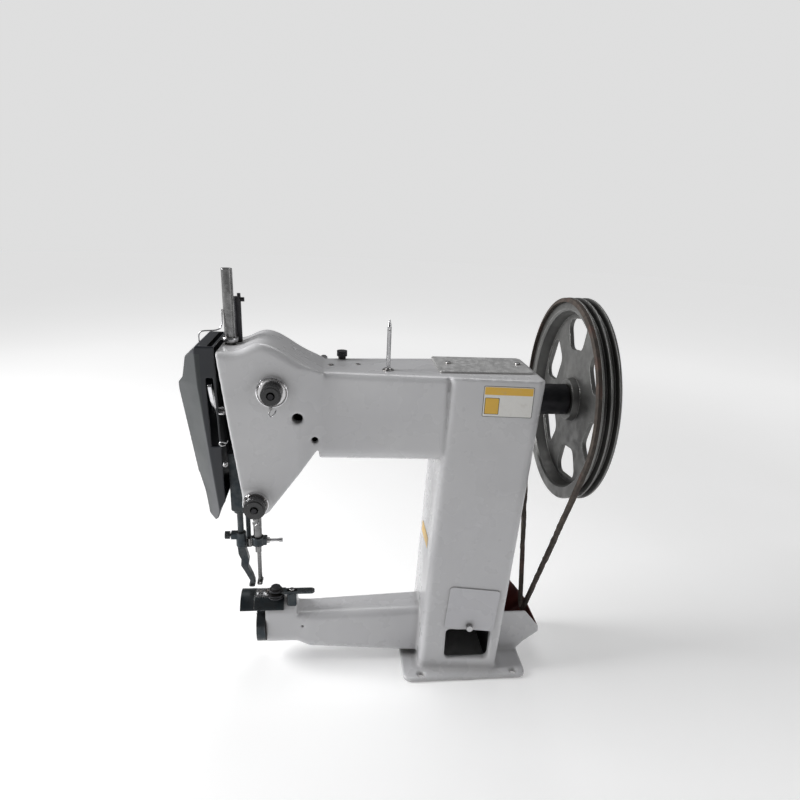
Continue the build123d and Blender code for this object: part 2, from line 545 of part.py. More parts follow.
with BuildPart() as presser_foot:
    ring(facing_up(PRESSER_X, 0, 226), 8.5, PRESSER_BAR_RADIUS, 26)
    block(facing_x(PRESSER_X - 16, 0, 246), 13, 12, 10, corner=2)
    with BuildSketch(facing_front(0, -6.5, 0)) as foot_side:
        with BuildLine():
            Polyline((PRESSER_X - 6, 226), (PRESSER_X + 6, 226), (PRESSER_X + 9, 214),
                     (PRESSER_X + 12, 200), (PRESSER_X + 10, 186), (PRESSER_X + 17, 168),
                     (PRESSER_X + 20, 156), (PRESSER_X + 18, 150), (PRESSER_X + 12, 150),
                     (PRESSER_X + 12, 160), (PRESSER_X + 4, 178), (PRESSER_X - 2, 190),
                     (PRESSER_X - 1, 202), (PRESSER_X - 5, 212), close=True)
        make_face()
        fillet(foot_side.vertices(), 1.4)
    extrude(foot_side.sketch, amount=-13)
    block(facing_up(PRESSER_X + 15, 0, 149.2), 10, 19, 3, corner=3)
    disc(facing_x(PRESSER_X - 20, 0, 246), 2.6, 20, mode=Mode.SUBTRACT)
presser_foot.part.label = "presser_foot"
export_step(presser_foot.part, "parts/presser_foot.step")

with BuildPart() as foot_thumb_screw:
    disc(facing_x(PRESSER_X - 21, 0, 246), 2.6, 16)
    with BuildSketch(facing_x(PRESSER_X - 26, 0, 246)) as grip:
        Circle(6.6)
        with PolarLocations(6.6, 14):
            Circle(0.7, mode=Mode.SUBTRACT)
    extrude(grip.sketch, amount=8)
foot_thumb_screw.part.label = "foot_thumb_screw"
export_step(foot_thumb_screw.part, "parts/foot_thumb_screw.step")

with BuildPart() as lift_collar:
    ring(facing_up(PRESSER_X, 0, 452), 8.6, PRESSER_BAR_RADIUS, 14)
    block(facing_up(PRESSER_X, 14, 452), 8, 20, 6)
    disc(facing_up(PRESSER_X, 0, 440), PRESSER_BAR_RADIUS, 40, mode=Mode.SUBTRACT)
lift_collar.part.label = "lift_collar"
export_step(lift_collar.part, "parts/lift_collar.step")

with BuildPart() as presser_tube:
    ring(facing_up(PRESSER_X, 0, 550), PRESSER_TUBE_RADIUS, PRESSER_BAR_RADIUS + 1.3, 125)
    disc(facing_up(PRESSER_X, 0, 675), PRESSER_TUBE_RADIUS, 5)
    chamfer(presser_tube.edges().group_by(Axis.Z)[-1], 0.8)
presser_tube.part.label = "presser_tube"
export_step(presser_tube.part, "parts/presser_tube.step")

SPRING_WIRE_RADIUS = 0.8
SPRING_RADIUS = 4.4
SPRING_BASE_Z = 601.0
SPRING_TOP_Z = 674.0

with BuildPart() as presser_spring:
    with BuildLine() as coil:
        Helix(8.0, SPRING_TOP_Z - SPRING_BASE_Z, SPRING_RADIUS, center=(PRESSER_X, 0, SPRING_BASE_Z))
    with BuildSketch(Plane(origin=coil.line @ 0, z_dir=coil.line % 0)):
        Circle(SPRING_WIRE_RADIUS)
    sweep(is_frenet=True)
presser_spring.part.label = "presser_spring"
export_step(presser_spring.part, "parts/presser_spring.step")

# ---------------------------------------------------------------- inner, vibrating presser foot
with BuildPart() as vibrating_bar:
    disc(facing_up(VIBRATOR_X, VIBRATOR_Y, 218), 4, 400)
    disc(facing_up(VIBRATOR_X, VIBRATOR_Y, 418), 7, 12)
    chamfer(vibrating_bar.edges().group_by(Axis.Z)[-1], 0.8)
vibrating_bar.part.label = "vibrating_bar"
export_step(vibrating_bar.part, "parts/vibrating_bar.step")

VIBRATING_FOOT_X = NEEDLE_X - 1.0
with BuildPart() as vibrating_foot:
    ring(facing_up(VIBRATOR_X, VIBRATOR_Y, 216), 7, 4, 16)
    slab(facing_up(0, 0, 218), [(VIBRATOR_X + 4.5, VIBRATOR_Y + 4), (VIBRATING_FOOT_X + 3.4, 18),
                                (VIBRATING_FOOT_X + 3.4, 12), (VIBRATOR_X + 4.5, VIBRATOR_Y - 4)], 9)
    block(facing_up(VIBRATING_FOOT_X, 15, 152), 6.8, 6.4, 75, corner=1.5)
    block(facing_up(VIBRATING_FOOT_X + 1, 6.5, 149.2), 9, 22, 3, corner=3)
    disc(facing_up(VIBRATOR_X, VIBRATOR_Y, 200), 4, 40, mode=Mode.SUBTRACT)
    disc(facing_up(NEEDLE_X, 0, 140), 2.4, 30, mode=Mode.SUBTRACT)
vibrating_foot.part.label = "vibrating_foot"
export_step(vibrating_foot.part, "parts/vibrating_foot.step")

with BuildPart() as vibrator_spring_rod:
    ring(facing_up(VIBRATOR_X, VIBRATOR_Y, 550), VIBRATOR_TUBE_RADIUS, 4.3, 84)
    disc(facing_up(VIBRATOR_X, VIBRATOR_Y, 634), VIBRATOR_TUBE_RADIUS, 4)
    disc(facing_up(VIBRATOR_X + 3, VIBRATOR_Y - 1, 638), 2.6, 5)
    disc(facing_x(VIBRATOR_X + 4.5, VIBRATOR_Y, 634), 3.2, 6)
    disc(facing_up(VIBRATOR_X, VIBRATOR_Y, 545), 4.3, 89, mode=Mode.SUBTRACT)
vibrator_spring_rod.part.label = "vibrator_spring_rod"
export_step(vibrator_spring_rod.part, "parts/vibrator_spring_rod.step")

# ---------------------------------------------------------------- hand lifter at the back of the head
LIFTER_X = HEAD_X + 40.0
LIFTER_Z = 500.0
LIFTER_Y = 61.0
LIFTER_LENGTH = 72.0
LIFTER_REST = 25.0                # degrees above level, foot raised

with BuildPart() as presser_lifter:
    tip = (LIFTER_LENGTH * cos(radians(LIFTER_REST)), LIFTER_LENGTH * sin(radians(LIFTER_REST)))
    link_plate(facing_front(LIFTER_X, LIFTER_Y, LIFTER_Z), (0, 0), tip, 12, 7, -6)
    disc(facing_front(LIFTER_X, LIFTER_Y, LIFTER_Z), 13, -11)
    disc(facing_front(LIFTER_X + tip[0], LIFTER_Y, LIFTER_Z + tip[1]), 7, -26)
    fillet(presser_lifter.faces().sort_by(Axis.Y)[-1].edges(), 2.5)
    disc(facing_front(LIFTER_X, LIFTER_Y - 2, LIFTER_Z), 5 + RUNNING_FIT, -20, mode=Mode.SUBTRACT)
presser_lifter.part.label = "presser_lifter"
export_step(presser_lifter.part, "parts/presser_lifter.step")

# ---------------------------------------------------------------- take-up lever
TAKE_UP_X = HEAD_X - 54.0
TAKE_UP_Y = 46.0
TAKE_UP_Z = 450.0

with BuildPart() as pivot_studs:
    disc(facing_front(LIFTER_X, 60, LIFTER_Z), 5, -13)
    disc(facing_front(LIFTER_X, 73, LIFTER_Z), 8, -3)
    disc(facing_x(HEAD_X - 33, TAKE_UP_Y, TAKE_UP_Z), 3.5, -27)
    disc(facing_x(HEAD_X - 46, TAKE_UP_Y, TAKE_UP_Z), 5.5, 10)
    disc(facing_x(HEAD_X - 60, TAKE_UP_Y, TAKE_UP_Z), 5.5, 2)
    disc(facing_x(HEAD_X - 36, TAKE_UP_Y, TAKE_UP_Z), 3.5, 18)
    add(arm_casting.part, mode=Mode.SUBTRACT)
pivot_studs.part.label = "pivot_studs"
export_step(pivot_studs.part, "parts/pivot_studs.step")

with BuildPart() as take_up_lever:
    lever_plane = facing_x(TAKE_UP_X - 2.5, 0, 0)
    link_plate(lever_plane, (TAKE_UP_Y, TAKE_UP_Z), (-30, 474), 7, 5, 5)
    link_plate(lever_plane, (-30, 474), (-54, 519), 5, 4, 5)
    disc(facing_x(TAKE_UP_X - 4, TAKE_UP_Y, TAKE_UP_Z), 3.5 + RUNNING_FIT, 9, mode=Mode.SUBTRACT)
    disc(facing_x(TAKE_UP_X - 4, -54, 519), 1.8, 9, mode=Mode.SUBTRACT)
take_up_lever.part.label = "take_up_lever"
export_step(take_up_lever.part, "parts/take_up_lever.step")

# ---------------------------------------------------------------- thread tensions
UPPER_BOSS_Y = FRONT_Y - 1.5
LOWER_BOSS_Y = FRONT_Y - 3.0
TENSIONS = ((UPPER_TENSION, UPPER_BOSS_Y, 20.0), (LOWER_TENSION, LOWER_BOSS_Y, 17.0))

with BuildPart() as tension_studs:
    for (stud_x, stud_z), boss_y, _ in TENSIONS:
        disc(facing_front(stud_x, boss_y, stud_z), 4, 26)
tension_studs.part.label = "tension_studs"
export_step(tension_studs.part, "parts/tension_studs.step")

with BuildPart() as tension_discs:
    for (disc_x, disc_z), boss_y, disc_radius in TENSIONS:
        for step in range(2):
            ring(facing_front(disc_x, boss_y - 2.2 - 2.0 * step, disc_z), disc_radius - step, 4, 1.6)
tension_discs.part.label = "tension_discs"
export_step(tension_discs.part, "parts/tension_discs.step")

KNOB_GAP = 6.6


def tension_knob(stud, boss_y, radius):
    """Fluted cap nut that presses the tension spring and discs."""
    stud_x, stud_z = stud
    knurled_disc(facing_front(stud_x, boss_y - KNOB_GAP, stud_z), radius, 15, 28)
    disc(facing_front(stud_x, boss_y - KNOB_GAP - 15, stud_z), radius - 3, 2)
    disc(facing_front(stud_x, boss_y - KNOB_GAP - 14, stud_z), 6, 4, mode=Mode.SUBTRACT)
    disc(facing_front(stud_x, boss_y - KNOB_GAP + 1, stud_z), 4 + RUNNING_FIT, 30, mode=Mode.SUBTRACT)


with BuildPart() as upper_tension_knob:
    tension_knob(UPPER_TENSION, UPPER_BOSS_Y, 15.0)
upper_tension_knob.part.label = "upper_tension_knob"
export_step(upper_tension_knob.part, "parts/upper_tension_knob.step")

with BuildPart() as lower_tension_knob:
    tension_knob(LOWER_TENSION, LOWER_BOSS_Y, 16.5)
lower_tension_knob.part.label = "lower_tension_knob"
export_step(lower_tension_knob.part, "parts/lower_tension_knob.step")

with BuildPart() as check_spring:
    ring(facing_front(UPPER_TENSION[0], UPPER_BOSS_Y - 0.3, UPPER_TENSION[1]), 6, 4 + RUNNING_FIT, 1.5)
    slab(facing_front(UPPER_TENSION[0], UPPER_BOSS_Y - 0.3, UPPER_TENSION[1]),
         [(-1, -5), (1.2, -5), (1.2, -25), (-3.5, -29), (-4.6, -27.6), (-1, -24.4)], 1.5)
check_spring.part.label = "check_spring"
export_step(check_spring.part, "parts/check_spring.step")

# ---------------------------------------------------------------- top of the arm
with BuildPart() as top_cover:
    block(facing_up(-4, 11, TOP_Z), 148, 98, TOP_COVER_THICKNESS, corner=4)
    chamfer(top_cover.faces().sort_by(Axis.Z)[-1].edges(), 1.2)
    for screw_x in TOP_SCREW_XS:
        disc(facing_up(screw_x, TOP_SCREW_Y, TOP_Z - 1), SCREW_RADIUS + 0.2, 20, mode=Mode.SUBTRACT)
top_cover.part.label = "top_cover"
export_step(top_cover.part, "parts/top_cover.step")

PIN_X = HEAD_X + 204.0
SPOOL_PIN_Y = -25.7
with BuildPart() as spool_pin:
    with BuildSketch(Plane(origin=(0, SPOOL_PIN_Y, 0), x_dir=(1, 0, 0), z_dir=(0, -1, 0))) as pin_side:
        with BuildLine():
            Polyline((PIN_X, TOP_Z), (PIN_X + 5.5, TOP_Z), (PIN_X + 5.5, TOP_Z + 3), (PIN_X + 3.2, TOP_Z + 4),
                     (PIN_X + 3.2, TOP_Z + 66), (PIN_X + 1, TOP_Z + 76), (PIN_X, TOP_Z + 76), close=True)
        make_face()
    revolve(axis=Axis((PIN_X, SPOOL_PIN_Y, 0), (0, 0, 1)))
    disc(facing_front(PIN_X, SPOOL_PIN_Y + 5, TOP_Z + 62), 1.3, 10, mode=Mode.SUBTRACT)
spool_pin.part.label = "spool_pin"
export_step(spool_pin.part, "parts/spool_pin.step")

with BuildPart() as oil_cap:
    disc(facing_up(HEAD_X + 135, 40, TOP_Z), 6, 5)
    knurled_disc(facing_up(HEAD_X + 135, 40, TOP_Z + 5), 8.2, 8.5, 24)
oil_cap.part.label = "oil_cap"
export_step(oil_cap.part, "parts/oil_cap.step")

# ---------------------------------------------------------------- service door and labels
DOOR_TILT = -4.0
DOOR_WIDTH = 86.0
DOOR_HEIGHT = 82.0
DOOR_THICKNESS = 1.5
DOOR_GAP = 0.4

with BuildPart() as service_door:
    with BuildSketch(column_face(DOOR_PIVOT_X, DOOR_PIVOT_Z, DOOR_GAP, DOOR_TILT)) as door_face:
        with Locations((0, DOOR_HEIGHT / 2 - 7)):
            RectangleRounded(DOOR_WIDTH, DOOR_HEIGHT, 6)
        Circle(DOOR_SCREW_RADIUS + RUNNING_FIT, mode=Mode.SUBTRACT)
    extrude(amount=DOOR_THICKNESS)
service_door.part.label = "service_door"
export_step(service_door.part, "parts/service_door.step")

with BuildPart() as door_screw:
    disc(column_face(DOOR_PIVOT_X, DOOR_PIVOT_Z, -DOOR_SCREW_DEPTH), DOOR_SCREW_RADIUS,
         DOOR_SCREW_DEPTH + 2 * DOOR_GAP + DOOR_THICKNESS)
    knurled_disc(column_face(DOOR_PIVOT_X, DOOR_PIVOT_Z, 2 * DOOR_GAP + DOOR_THICKNESS), 5.5, 8, 18)
door_screw.part.label = "door_screw"
export_step(door_screw.part, "parts/door_screw.step")

# ---------------------------------------------------------------- work plates on the cylinder arm
SADDLE_ANGLE = 72.4
SLIDE_SEAM_X = HEAD_X - 12.0


def saddle_arc(start_x, length, inner, outer, half_angle, mode=Mode.ADD):
    """Curved plate about the axis of the arm's crown."""
    with BuildSketch(facing_x(start_x, 0, SADDLE_Z)) as face:
        Circle(outer)
        Circle(inner, mode=Mode.SUBTRACT)
        with BuildLine():
            reach = 2 * outer
            side = reach * sin(radians(half_angle))
            rise = reach * cos(radians(half_angle))
            Polyline((0, 0), (side, rise), (side, reach), (-side, reach), (-side, rise), close=True)
        make_face(mode=Mode.INTERSECT)
    extrude(face.sketch, amount=length, mode=mode)


NEEDLE_PLATE_START = HEAD_X - 10.0
NEEDLE_PLATE_LENGTH = 27.0
NEEDLE_PLATE_ANGLE = 28.0
FEED_X = HEAD_X + 6.0

with BuildPart() as saddle_plate:
    saddle_arc(SLIDE_SEAM_X, 50.7, SADDLE_INNER, SADDLE_OUTER, SADDLE_ANGLE)
    saddle_arc(NEEDLE_PLATE_START, NEEDLE_PLATE_LENGTH, SADDLE_INNER - 1, SADDLE_OUTER + 1,
               NEEDLE_PLATE_ANGLE, mode=Mode.SUBTRACT)
saddle_plate.part.label = "saddle_plate"
export_step(saddle_plate.part, "parts/saddle_plate.step")

with BuildPart() as slide_plate:
    saddle_arc(HEAD_X - 35.5, 23.2, SADDLE_INNER, SADDLE_OUTER, SADDLE_ANGLE)
    # two tongues that run under the fixed plate
    saddle_arc(HEAD_X - 30, 34, 24.5, SADDLE_INNER - 0.4, 58)
    saddle_arc(HEAD_X - 31, 36, 24, SADDLE_INNER - 0.3, 36, mode=Mode.SUBTRACT)
    saddle_arc(HEAD_X - 30, 10, 24.5, SADDLE_INNER, 58)
slide_plate.part.label = "slide_plate"
export_step(slide_plate.part, "parts/slide_plate.step")

with BuildPart() as needle_plate:
    saddle_arc(NEEDLE_PLATE_START, NEEDLE_PLATE_LENGTH, SADDLE_INNER, SADDLE_OUTER + 0.2, NEEDLE_PLATE_ANGLE)
    disc(facing_up(NEEDLE_X, NEEDLE_Y, 120), 2.2, 30, mode=Mode.SUBTRACT)
    block(facing_up(FEED_X + 4.5, 0, 120), 10, 19, 30, corner=1, mode=Mode.SUBTRACT)
needle_plate.part.label = "needle_plate"
export_step(needle_plate.part, "parts/needle_plate.step")

# ---------------------------------------------------------------- shuttle, bobbin and lower shaft
RACE_START_X = HEAD_X - 9.0
RACE_RADIUS = 33.5
SHUTTLE_RADIUS = 27.0

with BuildPart() as shuttle_race:
    ring(facing_x(RACE_START_X, 0, LOWER_Z), RACE_RADIUS, SHUTTLE_RADIUS + 0.3, 12.3)
    ring(facing_x(RACE_START_X + 12.3, 0, LOWER_Z), RACE_RADIUS, 15, 2.7)
    # gap at the top where the needle and the thread pass
    block(facing_up(NEEDLE_X, 0, 85), 8.5, 16, 40, mode=Mode.SUBTRACT)
    add(cylinder_arm.part, mode=Mode.SUBTRACT)
shuttle_race.part.label = "shuttle_race"
export_step(shuttle_race.part, "parts/shuttle_race.step")

with BuildPart() as shuttle:
    with BuildSketch(facing_x(RACE_START_X + 1, 0, LOWER_Z)) as hook:
        Circle(SHUTTLE_RADIUS)
        Circle(22.2, mode=Mode.SUBTRACT)
        with BuildLine():
            Polyline((4, 0), (4, 40), (26, 40), (16, 12), close=True)
        make_face(mode=Mode.SUBTRACT)
    extrude(hook.sketch, amount=9)
    disc(facing_x(RACE_START_X + 10, 0, LOWER_Z), SHUTTLE_RADIUS, 2)
shuttle.part.label = "shuttle"
export_step(shuttle.part, "parts/shuttle.step")

with BuildPart() as bobbin_case:
    ring(facing_x(RACE_START_X - 1, 0, LOWER_Z), 21.8, 20.6, 10.8)
    ring(facing_x(RACE_START_X - 1.5, 0, LOWER_Z), 21.8, 5, 1.2)
    block(facing_x(RACE_START_X - 2.6, 0, LOWER_Z + 13), 7, 12, 1.4, corner=1.5)
bobbin_case.part.label = "bobbin_case"
export_step(bobbin_case.part, "parts/bobbin_case.step")

with BuildPart() as bobbin:
    disc(facing_x(RACE_START_X + 0.2, 0, LOWER_Z), 19.8, 1)
    disc(facing_x(RACE_START_X + 0.2, 0, LOWER_Z), 5, 9)
    disc(facing_x(RACE_START_X + 8.2, 0, LOWER_Z), 19.8, 1)
    disc(facing_x(RACE_START_X - 1, 0, LOWER_Z), 3, 12, mode=Mode.SUBTRACT)
bobbin.part.label = "bobbin"
export_step(bobbin.part, "parts/bobbin.step")

with BuildPart() as lower_shaft:
    disc(facing_x(RACE_START_X + 12, 0, LOWER_Z), 14, 2.6)
    disc(facing_x(RACE_START_X + 12, 0, LOWER_Z), LOWER_SHAFT_RADIUS, ROCKER_X + 9 - RACE_START_X - 12)
    chamfer(lower_shaft.edges().sort_by(Axis.X)[-1], 1)
lower_shaft.part.label = "lower_shaft"
export_step(lower_shaft.part, "parts/lower_shaft.step")

with BuildPart() as rocker_arm:
    link_plate(facing_x(ROCKER_X, 0, LOWER_Z), (0, 0), (PIN_Y, PIN_Z - LOWER_Z), 13, 9, 9)
    disc(facing_x(ROCKER_X, 0, LOWER_Z), 13, -8)
    disc(facing_x(ROCKER_X - 10, 0, LOWER_Z), LOWER_SHAFT_RADIUS, 30, mode=Mode.SUBTRACT)
rocker_arm.part.label = "rocker_arm"
export_step(rocker_arm.part, "parts/rocker_arm.step")

with BuildPart() as feed_dog:
    block(facing_up(FEED_X + 4.5, 0, 124), 7.5, 10, 8.6, corner=0.8)
    for tooth in range(4):
        slab(facing_x(FEED_X + 0.75), [(-5 + 2.5 * tooth, 132), (-2.6 + 2.5 * tooth, 132),
                                       (-4.4 + 2.5 * tooth, 134.4)], 7.5)
    block(facing_up(FEED_X + 4.5, 7, 84), 7.5, 10, 41, corner=0.8)
feed_dog.part.label = "feed_dog"
export_step(feed_dog.part, "parts/feed_dog.step")

with BuildPart() as feed_bar:
    block(facing_x(FEED_X + 8.3, 12, 88), 8, 8, 296, corner=1)
feed_bar.part.label = "feed_bar"
export_step(feed_bar.part, "parts/feed_bar.step")

# ---------------------------------------------------------------- edge guide
GUIDE_Y = -16.0
STRIP_Z = 141.3
STRIP_THICKNESS = 4.0
ROLLER_X = HEAD_X + 25.0
GUIDE_SCREW_X = HEAD_X + 52.0

with BuildPart() as edge_guide_base:
    block(facing_up(GUIDE_SCREW_X, GUIDE_Y, 112), 16, 14, STRIP_Z - 0.3 - 112, corner=2)
    add(cylinder_arm.part, mode=Mode.SUBTRACT)
    disc(facing_x(HEAD_X, 0, SADDLE_Z), NECK_RADIUS, 80, mode=Mode.SUBTRACT)
    disc(facing_up(GUIDE_SCREW_X, GUIDE_Y, 133), SCREW_RADIUS, 20, mode=Mode.SUBTRACT)
edge_guide_base.part.label = "edge_guide_base"
export_step(edge_guide_base.part, "parts/edge_guide_base.step")

with BuildPart() as edge_guide:
    with BuildSketch(facing_up(HEAD_X, GUIDE_Y, STRIP_Z)) as strip:
        with Locations((52.5, 0)):
            SlotOverall(77, 13)
        with Locations((52, 0)):
            SlotOverall(19, 5.8, mode=Mode.SUBTRACT)
        with Locations((80, 0)):
            SlotOverall(16, 5, mode=Mode.SUBTRACT)
        with Locations((25, 0)):
            Circle(3 + RUNNING_FIT, mode=Mode.SUBTRACT)
    extrude(strip.sketch, amount=STRIP_THICKNESS)
edge_guide.part.label = "edge_guide"
export_step(edge_guide.part, "parts/edge_guide.step")

with BuildPart() as guide_roller:
    disc(facing_up(ROLLER_X, GUIDE_Y, STRIP_Z - 6.6), 14.5, 2.4)
    disc(facing_up(ROLLER_X, GUIDE_Y, STRIP_Z - 4.4), 11.5, 2)
    disc(facing_up(ROLLER_X, GUIDE_Y, STRIP_Z - 2.6), 14.5, 2.3)
    disc(facing_up(ROLLER_X, GUIDE_Y, STRIP_Z - 1), 3, STRIP_THICKNESS + 3)
    disc(facing_up(ROLLER_X, GUIDE_Y, STRIP_Z + STRIP_THICKNESS + 0.3), 11, 3)
    knurled_disc(facing_up(ROLLER_X, GUIDE_Y, STRIP_Z + STRIP_THICKNESS + 3.3), 8, 5, 20)
guide_roller.part.label = "guide_roller"
export_step(guide_roller.part, "parts/guide_roller.step")

# ---------------------------------------------------------------- belt duct and belt
DUCT_FRONT_Y = -22.0
DUCT_BACK_Y = 72.0
DUCT_WALL = 4.0


def duct_solid(inset):
    """Tapered chute beside the column, open upwards along a sloping mouth."""
    above = 60 if inset else 0
    foot_z = -5.0 if inset else 9.0
    outline = [(50, foot_z), (104 - inset, foot_z), (109 - inset, 14), (118 - inset, 24), (143 - inset, 44),
               (143 - inset, 56 + above), (80, 132 + above), (50, 140 + above)]
    with BuildPart(mode=Mode.PRIVATE) as chute:
        slab(facing_front(0, DUCT_BACK_Y - inset, 0), outline, DUCT_BACK_Y - DUCT_FRONT_Y - 2 * inset)
    return chute.part


with BuildPart() as belt_duct:
    add(duct_solid(0))
    add(duct_solid(DUCT_WALL), mode=Mode.SUBTRACT)
    # the mouth also falls towards the operator
    slab(facing_x(40), [(-30, 92), (-16, 92), (50, 150), (-30, 150)], 130, mode=Mode.SUBTRACT)
    with BuildPart(mode=Mode.PRIVATE) as column_block:
        loft([column_section(0), column_section(SPLIT_Z)])
    add(column_block.part, mode=Mode.SUBTRACT)
belt_duct.part.label = "belt_duct"
export_step(belt_duct.part, "parts/belt_duct.step")

BELT_X = GROOVE_XS[0]
BELT_OUTER_HALF = 4.7
BELT_INNER_HALF = 2.8
BELT_THICKNESS = 6.5
BELT_OUTER = WHEEL_RADIUS - 0.3
BELT_MIDDLE = BELT_OUTER - BELT_THICKNESS / 2
BIGHT_X = 129.0
BIGHT_Y = 44.0
BIGHT_Z = 64.0
BIGHT_RADIUS = 13.0


def tangent_angle(side):
    """Angle from +Y at which a straight run leaves the wheel, on the front or back side."""
    reach = sqrt(BIGHT_Y ** 2 + (SHAFT_Z - BIGHT_Z) ** 2)
    lean = degrees(atan2(BIGHT_Z - SHAFT_Z, BIGHT_Y))
    return lean + side * degrees(acos((BELT_MIDDLE - BIGHT_RADIUS) / reach))


def belt_section(centre_x, centre_y, centre_z, radius, angle):
    """Cross-section of the belt where it touches a circle of the drive at an angle."""
    radial = Vector(0, cos(radians(angle)), sin(radians(angle)))
    origin = Vector(centre_x, centre_y, centre_z) + radial * radius
    plane = Plane(origin=origin, x_dir=(1, 0, 0), z_dir=Vector(1, 0, 0).cross(radial))
    half = BELT_THICKNESS / 2
    with BuildSketch(plane) as section:
        with BuildLine():
            Polyline((-BELT_OUTER_HALF, half), (BELT_OUTER_HALF, half), (BELT_INNER_HALF, -half),
                     (-BELT_INNER_HALF, -half), close=True)
        make_face()
    return section.sketch


with BuildPart() as drive_belt:
    front_angle = tangent_angle(-1)
    back_angle = tangent_angle(1)
    wheel_start = belt_section(BELT_X, 0, SHAFT_Z, BELT_MIDDLE, back_angle)
    revolve(wheel_start, axis=Axis((0, 0, SHAFT_Z), (1, 0, 0)), revolution_arc=360 + front_angle - back_angle)
    bight_start = belt_section(BIGHT_X, BIGHT_Y, BIGHT_Z, BIGHT_RADIUS, front_angle)
    revolve(bight_start, axis=Axis((0, BIGHT_Y, BIGHT_Z), (1, 0, 0)), revolution_arc=back_angle - front_angle)
    for angle in (front_angle, back_angle):
        loft([belt_section(BELT_X, 0, SHAFT_Z, BELT_MIDDLE, angle),
              belt_section(BIGHT_X, BIGHT_Y, BIGHT_Z, BIGHT_RADIUS, angle)])
drive_belt.part.label = "drive_belt"
export_step(drive_belt.part, "parts/drive_belt.step")

# ---------------------------------------------------------------- labels and screws
LABEL_THICKNESS = 0.4
with BuildPart() as label_plates:
    block(column_face(22.5, 508), 76, 48, LABEL_THICKNESS, corner=2)
    left_wall = Plane(origin=(-86.3 + 0.035 * 240, 6, 240), x_dir=(0, -1, 0), z_dir=(-1, 0, 0.035))
    block(left_wall, 66, 20, LABEL_THICKNESS, corner=2)
label_plates.part.label = "label_plates"
export_step(label_plates.part, "parts/label_plates.step")

# slotted screw, head on the XY plane and shank below it
with BuildPart(mode=Mode.PRIVATE) as slotted_screw:
    disc(Plane.XY, 4.6, 2.6)
    fillet(slotted_screw.faces().sort_by(Axis.Z)[-1].edges(), 1)
    disc(Plane.XY.offset(-8), SCREW_RADIUS, 8)
    block(Plane.XY.offset(1.6), 10, 1.1, 3, mode=Mode.SUBTRACT)

with BuildPart() as fixing_screws:
    add(slotted_screw.part.moved(facing_up(GUIDE_SCREW_X, GUIDE_Y, STRIP_Z + STRIP_THICKNESS + 0.3).location))
    for screw_x in TOP_SCREW_XS:
        add(slotted_screw.part.moved(facing_up(screw_x, TOP_SCREW_Y, TOP_Z + TOP_COVER_THICKNESS).location))
    for lug_x, lug_z in COVER_LUGS:
        add(slotted_screw.part.moved(facing_back(lug_x, 60 + LUG_THICKNESS, lug_z).location))
fixing_screws.part.label = "fixing_screws"
export_step(fixing_screws.part, "parts/fixing_screws.step")
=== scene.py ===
import json
import math

import bmesh
import bpy
from mathutils import Matrix, Vector, noise


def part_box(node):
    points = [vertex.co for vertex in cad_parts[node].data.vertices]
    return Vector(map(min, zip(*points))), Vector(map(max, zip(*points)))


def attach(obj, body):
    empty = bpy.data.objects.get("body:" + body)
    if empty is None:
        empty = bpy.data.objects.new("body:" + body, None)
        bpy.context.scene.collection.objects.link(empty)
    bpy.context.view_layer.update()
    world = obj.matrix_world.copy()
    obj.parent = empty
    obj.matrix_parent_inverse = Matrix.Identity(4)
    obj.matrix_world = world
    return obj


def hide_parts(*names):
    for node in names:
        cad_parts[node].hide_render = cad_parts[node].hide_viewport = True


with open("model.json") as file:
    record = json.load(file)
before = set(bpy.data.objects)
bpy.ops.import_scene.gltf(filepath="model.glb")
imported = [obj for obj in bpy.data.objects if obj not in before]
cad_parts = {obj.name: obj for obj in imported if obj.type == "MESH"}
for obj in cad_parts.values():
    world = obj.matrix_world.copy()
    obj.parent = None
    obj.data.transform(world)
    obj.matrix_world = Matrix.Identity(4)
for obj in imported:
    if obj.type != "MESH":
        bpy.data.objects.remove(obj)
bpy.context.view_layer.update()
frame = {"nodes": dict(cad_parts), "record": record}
FRAME_BODY = "machine_frame"
SHAFT_Z = 0.492                     # main shaft axis above the table


